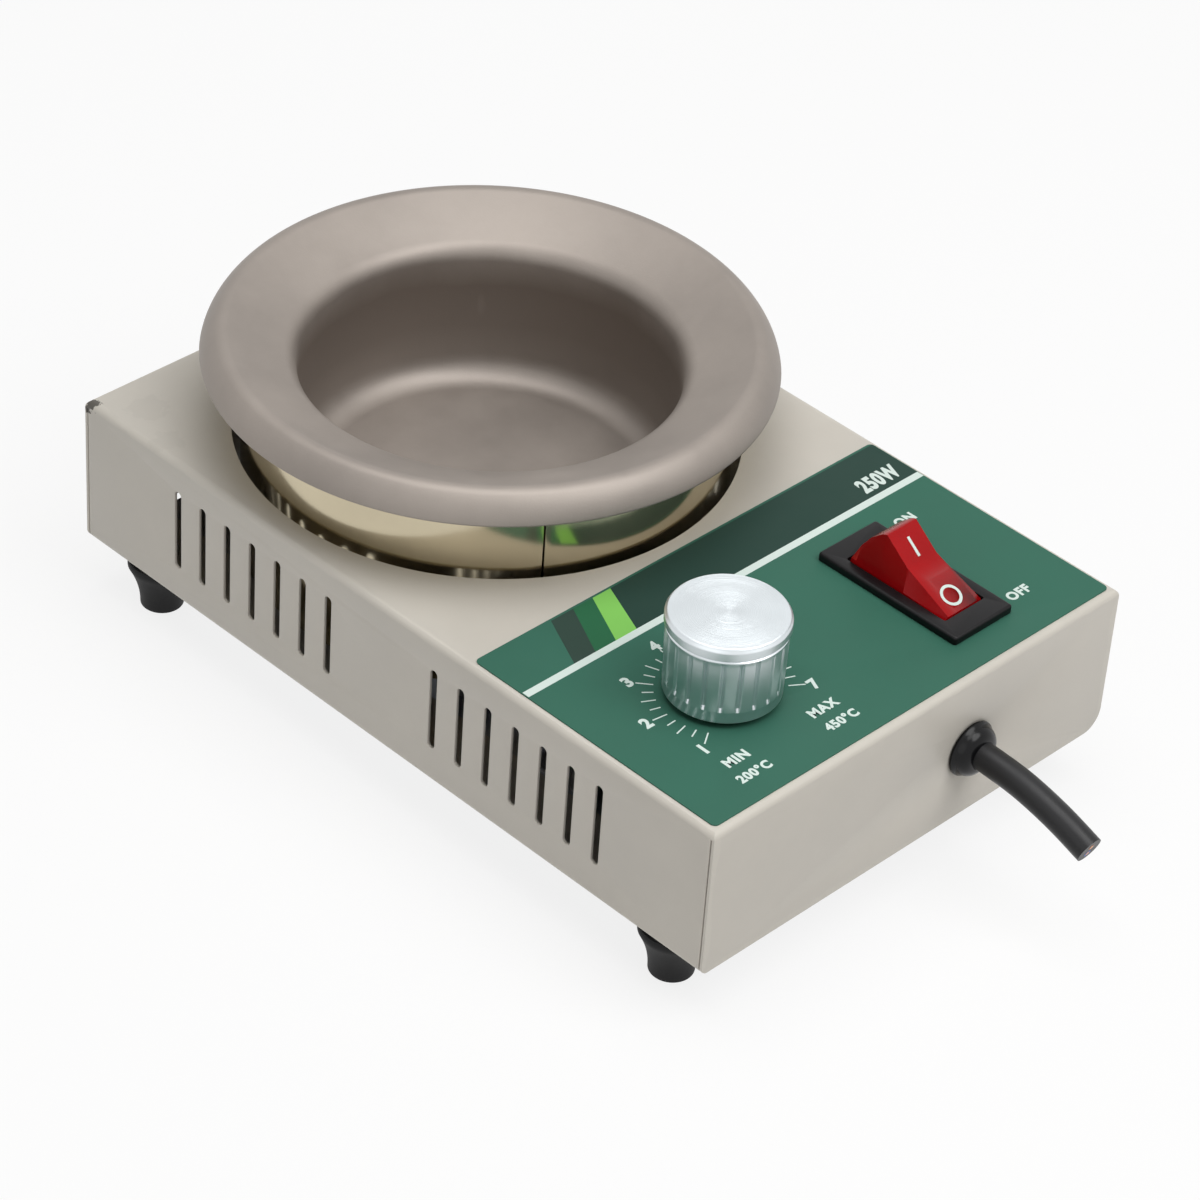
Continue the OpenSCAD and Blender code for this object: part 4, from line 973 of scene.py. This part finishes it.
def rockerPaddle():
    # side view about the pivot, as it rests with its front end pressed; the sides lean in to a narrower top
    look = rockerLook
    centre = switchPlace(0, 0, pivotZ)

    def polar(points):
        return [(r * math.cos(math.radians(a)), r * math.sin(math.radians(a))) for a, r in points]

    top, front = polar(look["back"])[-1], polar(look["front"])[0]
    fold = look["fold"]
    soft = [(fold[0] + 0.5, fold[1] + 0.38), fold, (fold[0] - 0.5, fold[1] - 0.2)]
    outline = polar(look["back"]) + soft + polar(look["front"])
    low = [(y, min(z, look["shoulder"] + 0.05 * y)) for y, z in outline]
    bm = bmesh.new()
    face = bm.faces.new([bm.verts.new(Vector((-look["width"] / 2, y, z)) * mm) for y, z in low])
    for x, points in ((-look["topWidth"] / 2, outline), (look["topWidth"] / 2, outline), (look["width"] / 2, low)):
        face = bmesh.ops.extrude_face_region(bm, geom=[face])["geom"]
        face = [g for g in face if isinstance(g, bmesh.types.BMFace)][0]
        for v, (y, z) in zip(face.verts, points):
            v.co = Vector((x, y, z)) * mm
    bmesh.ops.recalc_face_normals(bm, faces=bm.faces)
    rims = [e for e in bm.edges if len(e.link_faces) == 2 and e.calc_face_angle(0) > 0.35
            and min(v.co.z for v in e.verts) > 2 * mm]
    roundEdges(bm, rims, 0.22 * mm, 3)
    bmesh.ops.translate(bm, vec=centre, verts=bm.verts)
    paddle = makePiece("rocker_paddle", bm, materialFor["rocker_red"], "rocker", ("rocker",), 30)
    bm = bmesh.new()
    half = Vector(look["hollow"]) * mm
    addBlock(bm, centre + Vector((-half.x, -half.y, -6 * mm)), centre + half)
    hollow = makeCutter("hollow", bm)
    cutWith(paddle, hollow)
    applyModifiers(paddle)
    bpy.data.objects.remove(hollow)
    bm = bmesh.new()
    for side in (-1, 1):
        start = Vector((side * (look["width"] / 2 - 0.1) * mm, 0, 0))
        addRod(bm, start, start + Vector((side * 0.85 * mm, 0, 0)), look["pin"] / 2 * mm, 40)
    bmesh.ops.translate(bm, vec=centre, verts=bm.verts)
    makePiece("rocker_pins", bm, materialFor["rocker_red"], "rocker")

    # the white bar on the back half and the white ring on the front half
    for name, (a, b) in (("mark_bar", (fold, top)), ("mark_ring", (front, fold))):
        bm = bmesh.new()
        if name == "mark_bar":
            y, length, width = look["bar"]
            addBlock(bm, Vector((-width / 2, -length / 2, 0)) * mm, Vector((width / 2, length / 2, 0.08)) * mm)
        else:
            y, inner, outer = look["ring"]
            face = [(inner, 0), (outer, 0), (outer, 0.08), (inner, 0.08)]
            spinOutline(bm, [(r * mm, h * mm) for r, h in face], Vector((0, 0, 0)), 48, closed=True)
        slope = math.atan2(b[1] - a[1], b[0] - a[0])
        z = a[1] + (y - a[0]) * math.tan(slope)
        spot = Matrix.Translation(centre + Vector((0, y, z - 0.03)) * mm) @ Matrix.Rotation(slope, 4, "X")
        bmesh.ops.transform(bm, matrix=spot, verts=bm.verts)
        makePiece(name, bm, inkFor["whiteInk"], "rocker")


switchHousing()
rockerPaddle()
print("switch fitted")

bushingLook = dict(bore=2.65, collar=4.6, neck=4.0, head=5.25, flange=0.8, height=3.2, tail=8.0)


def cordBushing():
    look = bushingLook
    outline = [(look["bore"], -look["tail"]), (3.4, -look["tail"]), (look["collar"], -1.2), (look["neck"], -1.2),
               (look["neck"], 0.1), (look["head"] - 0.15, 0.1), (look["head"], 0.25),
               (look["head"], look["flange"] - 0.2), (look["head"] - 0.2, look["flange"])]
    outline += arc((2.45, look["flange"]), 2.4, 12, 84, 12) + [(look["bore"], look["height"])]
    bm = bmesh.new()
    spinOutline(bm, [(r * mm, h * mm) for r, h in outline], bushingMiddle, 96, closed=True, axis=-axisY)
    return makePiece("cord_bushing", bm, materialFor["bushing_plastic"], "housing",
                     ("bushing",), 40)


def cordStub():
    look = cordLook
    line = smoothLine([bushingMiddle + Vector(p) * mm for p in cordRoute], look["smoothing"])
    radius = look["diameter"] / 2
    bm = bmesh.new()
    made = bmesh.ops.create_circle(bm, cap_ends=True, radius=radius, segments=look["sides"])["verts"]
    bmesh.ops.rotate(bm, cent=(0, 0, 0), matrix=axisZ.rotation_difference(line[1] - line[0]).to_matrix(), verts=made)
    bmesh.ops.translate(bm, vec=line[0], verts=made)
    face = bm.faces[:][0]
    before = line[1] - line[0]
    for here, there, after in zip(line, line[1:], line[2:] + [line[-1] * 2 - line[-2]]):
        ahead = (after - here).normalized()
        grown = bmesh.ops.extrude_face_region(bm, geom=[face])["geom"]
        face = [g for g in grown if isinstance(g, bmesh.types.BMFace)][0]
        bmesh.ops.translate(bm, vec=there - here, verts=face.verts)
        turn = before.rotation_difference(ahead).to_matrix()
        bmesh.ops.rotate(bm, cent=there, matrix=turn, verts=face.verts)
        before = ahead
    tip, ahead = line[-1], before.normalized()
    # the extrusion leaves the faces it grew from inside
    spare = [f for f in bm.faces if len(f.verts) == look["sides"]
             and (f.calc_center_median() - tip).length > 1e-5 and (f.calc_center_median() - line[0]).length > 1e-5]
    bmesh.ops.delete(bm, geom=spare, context="FACES_ONLY")
    end = [f for f in bm.faces if len(f.verts) == look["sides"] and (f.calc_center_median() - tip).length < 1e-5]
    bmesh.ops.inset_region(bm, faces=end, thickness=0.8 * mm, depth=0)
    cord = makePiece("mains_cord", bm, materialFor["cord_sheath"], "housing", ("cord",), 40)
    side = ahead.cross(axisZ).normalized()
    up = side.cross(ahead)
    cores = []
    for name, angle, slot in (("core_brown", 90, "brown_sleeve"), ("core_blue", 270, "blue_sleeve")):
        centre = tip + (side * math.cos(math.radians(angle)) + up * math.sin(math.radians(angle))) * 0.9 * mm
        bm = bmesh.new()
        addRod(bm, centre - ahead * 0.6 * mm, centre + ahead * 0.02 * mm, 0.75 * mm, 24)
        cores.append(makePiece(name, bm, materialFor[slot], "housing"))
        bm = bmesh.new()
        addRod(bm, centre - ahead * 0.5 * mm, centre + ahead * 0.05 * mm, 0.42 * mm, 20)
        cores.append(makePiece(name + "_wire", bm, materialFor["copper_wire"], "housing"))
    return cord, cores, line


bushing = cordBushing()
cord, cores, cordLine = cordStub()
print("cord laid")

footLook = dict(height=10.0, top=12.5, low=8.0, rim=1.2, round_=0.4, bore=5.8, boreHeight=5.0, hole=1.7, flare=10)


def rubberFoot(name):
    look = footLook
    middle = middleOf(name)
    centre = Vector((middle.x, middle.y, 0))
    flare = (look["top"] - look["low"]) / 2
    body = look["height"] - look["rim"]
    r, low = look["round_"], look["low"] / 2
    outline = [(look["bore"] / 2, 0)] + arc((low - r, r), r, -90, 0, 5)
    outline += [(low + flare * (i / look["flare"]) ** 2, r + (body - r) * i / look["flare"])
                for i in range(1, look["flare"] + 1)]
    outline += [(look["top"] / 2, look["height"] - 0.25), (look["top"] / 2 - 0.2, look["height"]),
                (look["hole"], look["height"]), (look["hole"], look["boreHeight"]),
                (look["bore"] / 2, look["boreHeight"])]
    bm = bmesh.new()
    spinOutline(bm, [(x * mm, z * mm) for x, z in outline], centre, 64, closed=True)
    return makePiece("rubber_" + name, bm, materialFor["foot_rubber"], "housing", (name,), 40)


for corner in ("front_left", "front_right", "back_left", "back_right"):
    rubberFoot("foot_" + corner)
print("feet fitted")

lightLook = dict(
    key=dict(place=(0.18, -0.6, 0.85), size=0.7, power=4.7),
    fill=dict(place=(-0.85, -0.25, 0.45), size=0.8, power=0.7),
    top=dict(place=(-0.05, 0.0, 1.05), size=0.9, power=5.4),
    world=0.30)
stageLook = dict(size=4, shade=0.82, roughness=0.9, glow=0.82)


def addLight(name, place, size, power):
    light = bpy.data.lights.new(name, "AREA")
    light.shape = "DISK"
    light.size = size
    light.energy = power
    holder = bpy.data.objects.new(name, light)
    scene.collection.objects.link(holder)
    aim = Vector((0, 0, 0.03)) - Vector(place)
    holder.matrix_world = Matrix.Translation(place) @ aim.to_track_quat("-Z", "Y").to_matrix().to_4x4()


def seenShare(tree, share=1.0):
    # share for camera, glossy and transmission rays, which meet a white background, and 0 for the rest
    path = addNode(tree, "LightPath")
    seen = addNode(tree, "Math", operation="MAXIMUM")
    both = addNode(tree, "Math", operation="MAXIMUM")
    part = addNode(tree, "Math", operation="MULTIPLY")
    part.inputs[1].default_value = share
    tree.links.new(path.outputs["Is Camera Ray"], seen.inputs[0])
    tree.links.new(path.outputs["Is Glossy Ray"], seen.inputs[1])
    tree.links.new(seen.outputs[0], both.inputs[0])
    tree.links.new(path.outputs["Is Transmission Ray"], both.inputs[1])
    tree.links.new(both.outputs[0], part.inputs[0])
    return part.outputs[0]


def setStage():
    for name in ("key", "fill", "top"):
        addLight(name, **lightLook[name])
    world = bpy.data.worlds.new("studio")
    scene.world = world
    world.use_nodes = True
    tree = world.node_tree
    shadeNode = tree.nodes["Background"]
    mix = addNode(tree, "MixShader")
    white = addNode(tree, "Background")
    white.inputs["Color"].default_value = (1, 1, 1, 1)
    shadeNode.inputs["Color"].default_value = (1, 0.99, 0.97, 1)
    shadeNode.inputs["Strength"].default_value = lightLook["world"]
    tree.links.new(seenShare(tree), mix.inputs[0])
    tree.links.new(shadeNode.outputs[0], mix.inputs[1])
    tree.links.new(white.outputs[0], mix.inputs[2])
    tree.links.new(mix.outputs[0], tree.nodes["World Output"].inputs["Surface"])

    bm = bmesh.new()
    bmesh.ops.create_grid(bm, x_segments=1, y_segments=1, size=stageLook["size"])
    mesh = bpy.data.meshes.new("studio_floor")
    bm.to_mesh(mesh)
    bm.free()
    floor = bpy.data.objects.new("studio_floor", mesh)
    scene.collection.objects.link(floor)
    material = bpy.data.materials.new("paleFloor")
    material.use_nodes = True
    tree = material.node_tree
    base = tree.nodes["Principled BSDF"]
    base.inputs["Base Color"].default_value = (*[stageLook["shade"]] * 3, 1)
    base.inputs["Roughness"].default_value = stageLook["roughness"]
    glow = addNode(tree, "Emission")
    glow.inputs["Color"].default_value = (1, 1, 1, 1)
    mix = addNode(tree, "MixShader")
    tree.links.new(seenShare(tree, stageLook["glow"]), mix.inputs[0])
    tree.links.new(base.outputs[0], mix.inputs[1])
    tree.links.new(glow.outputs[0], mix.inputs[2])
    tree.links.new(mix.outputs[0], tree.nodes["Material Output"].inputs["Surface"])
    mesh.materials.append(material)


setStage()
scene.view_settings.view_transform = "Standard"
print("lights set")
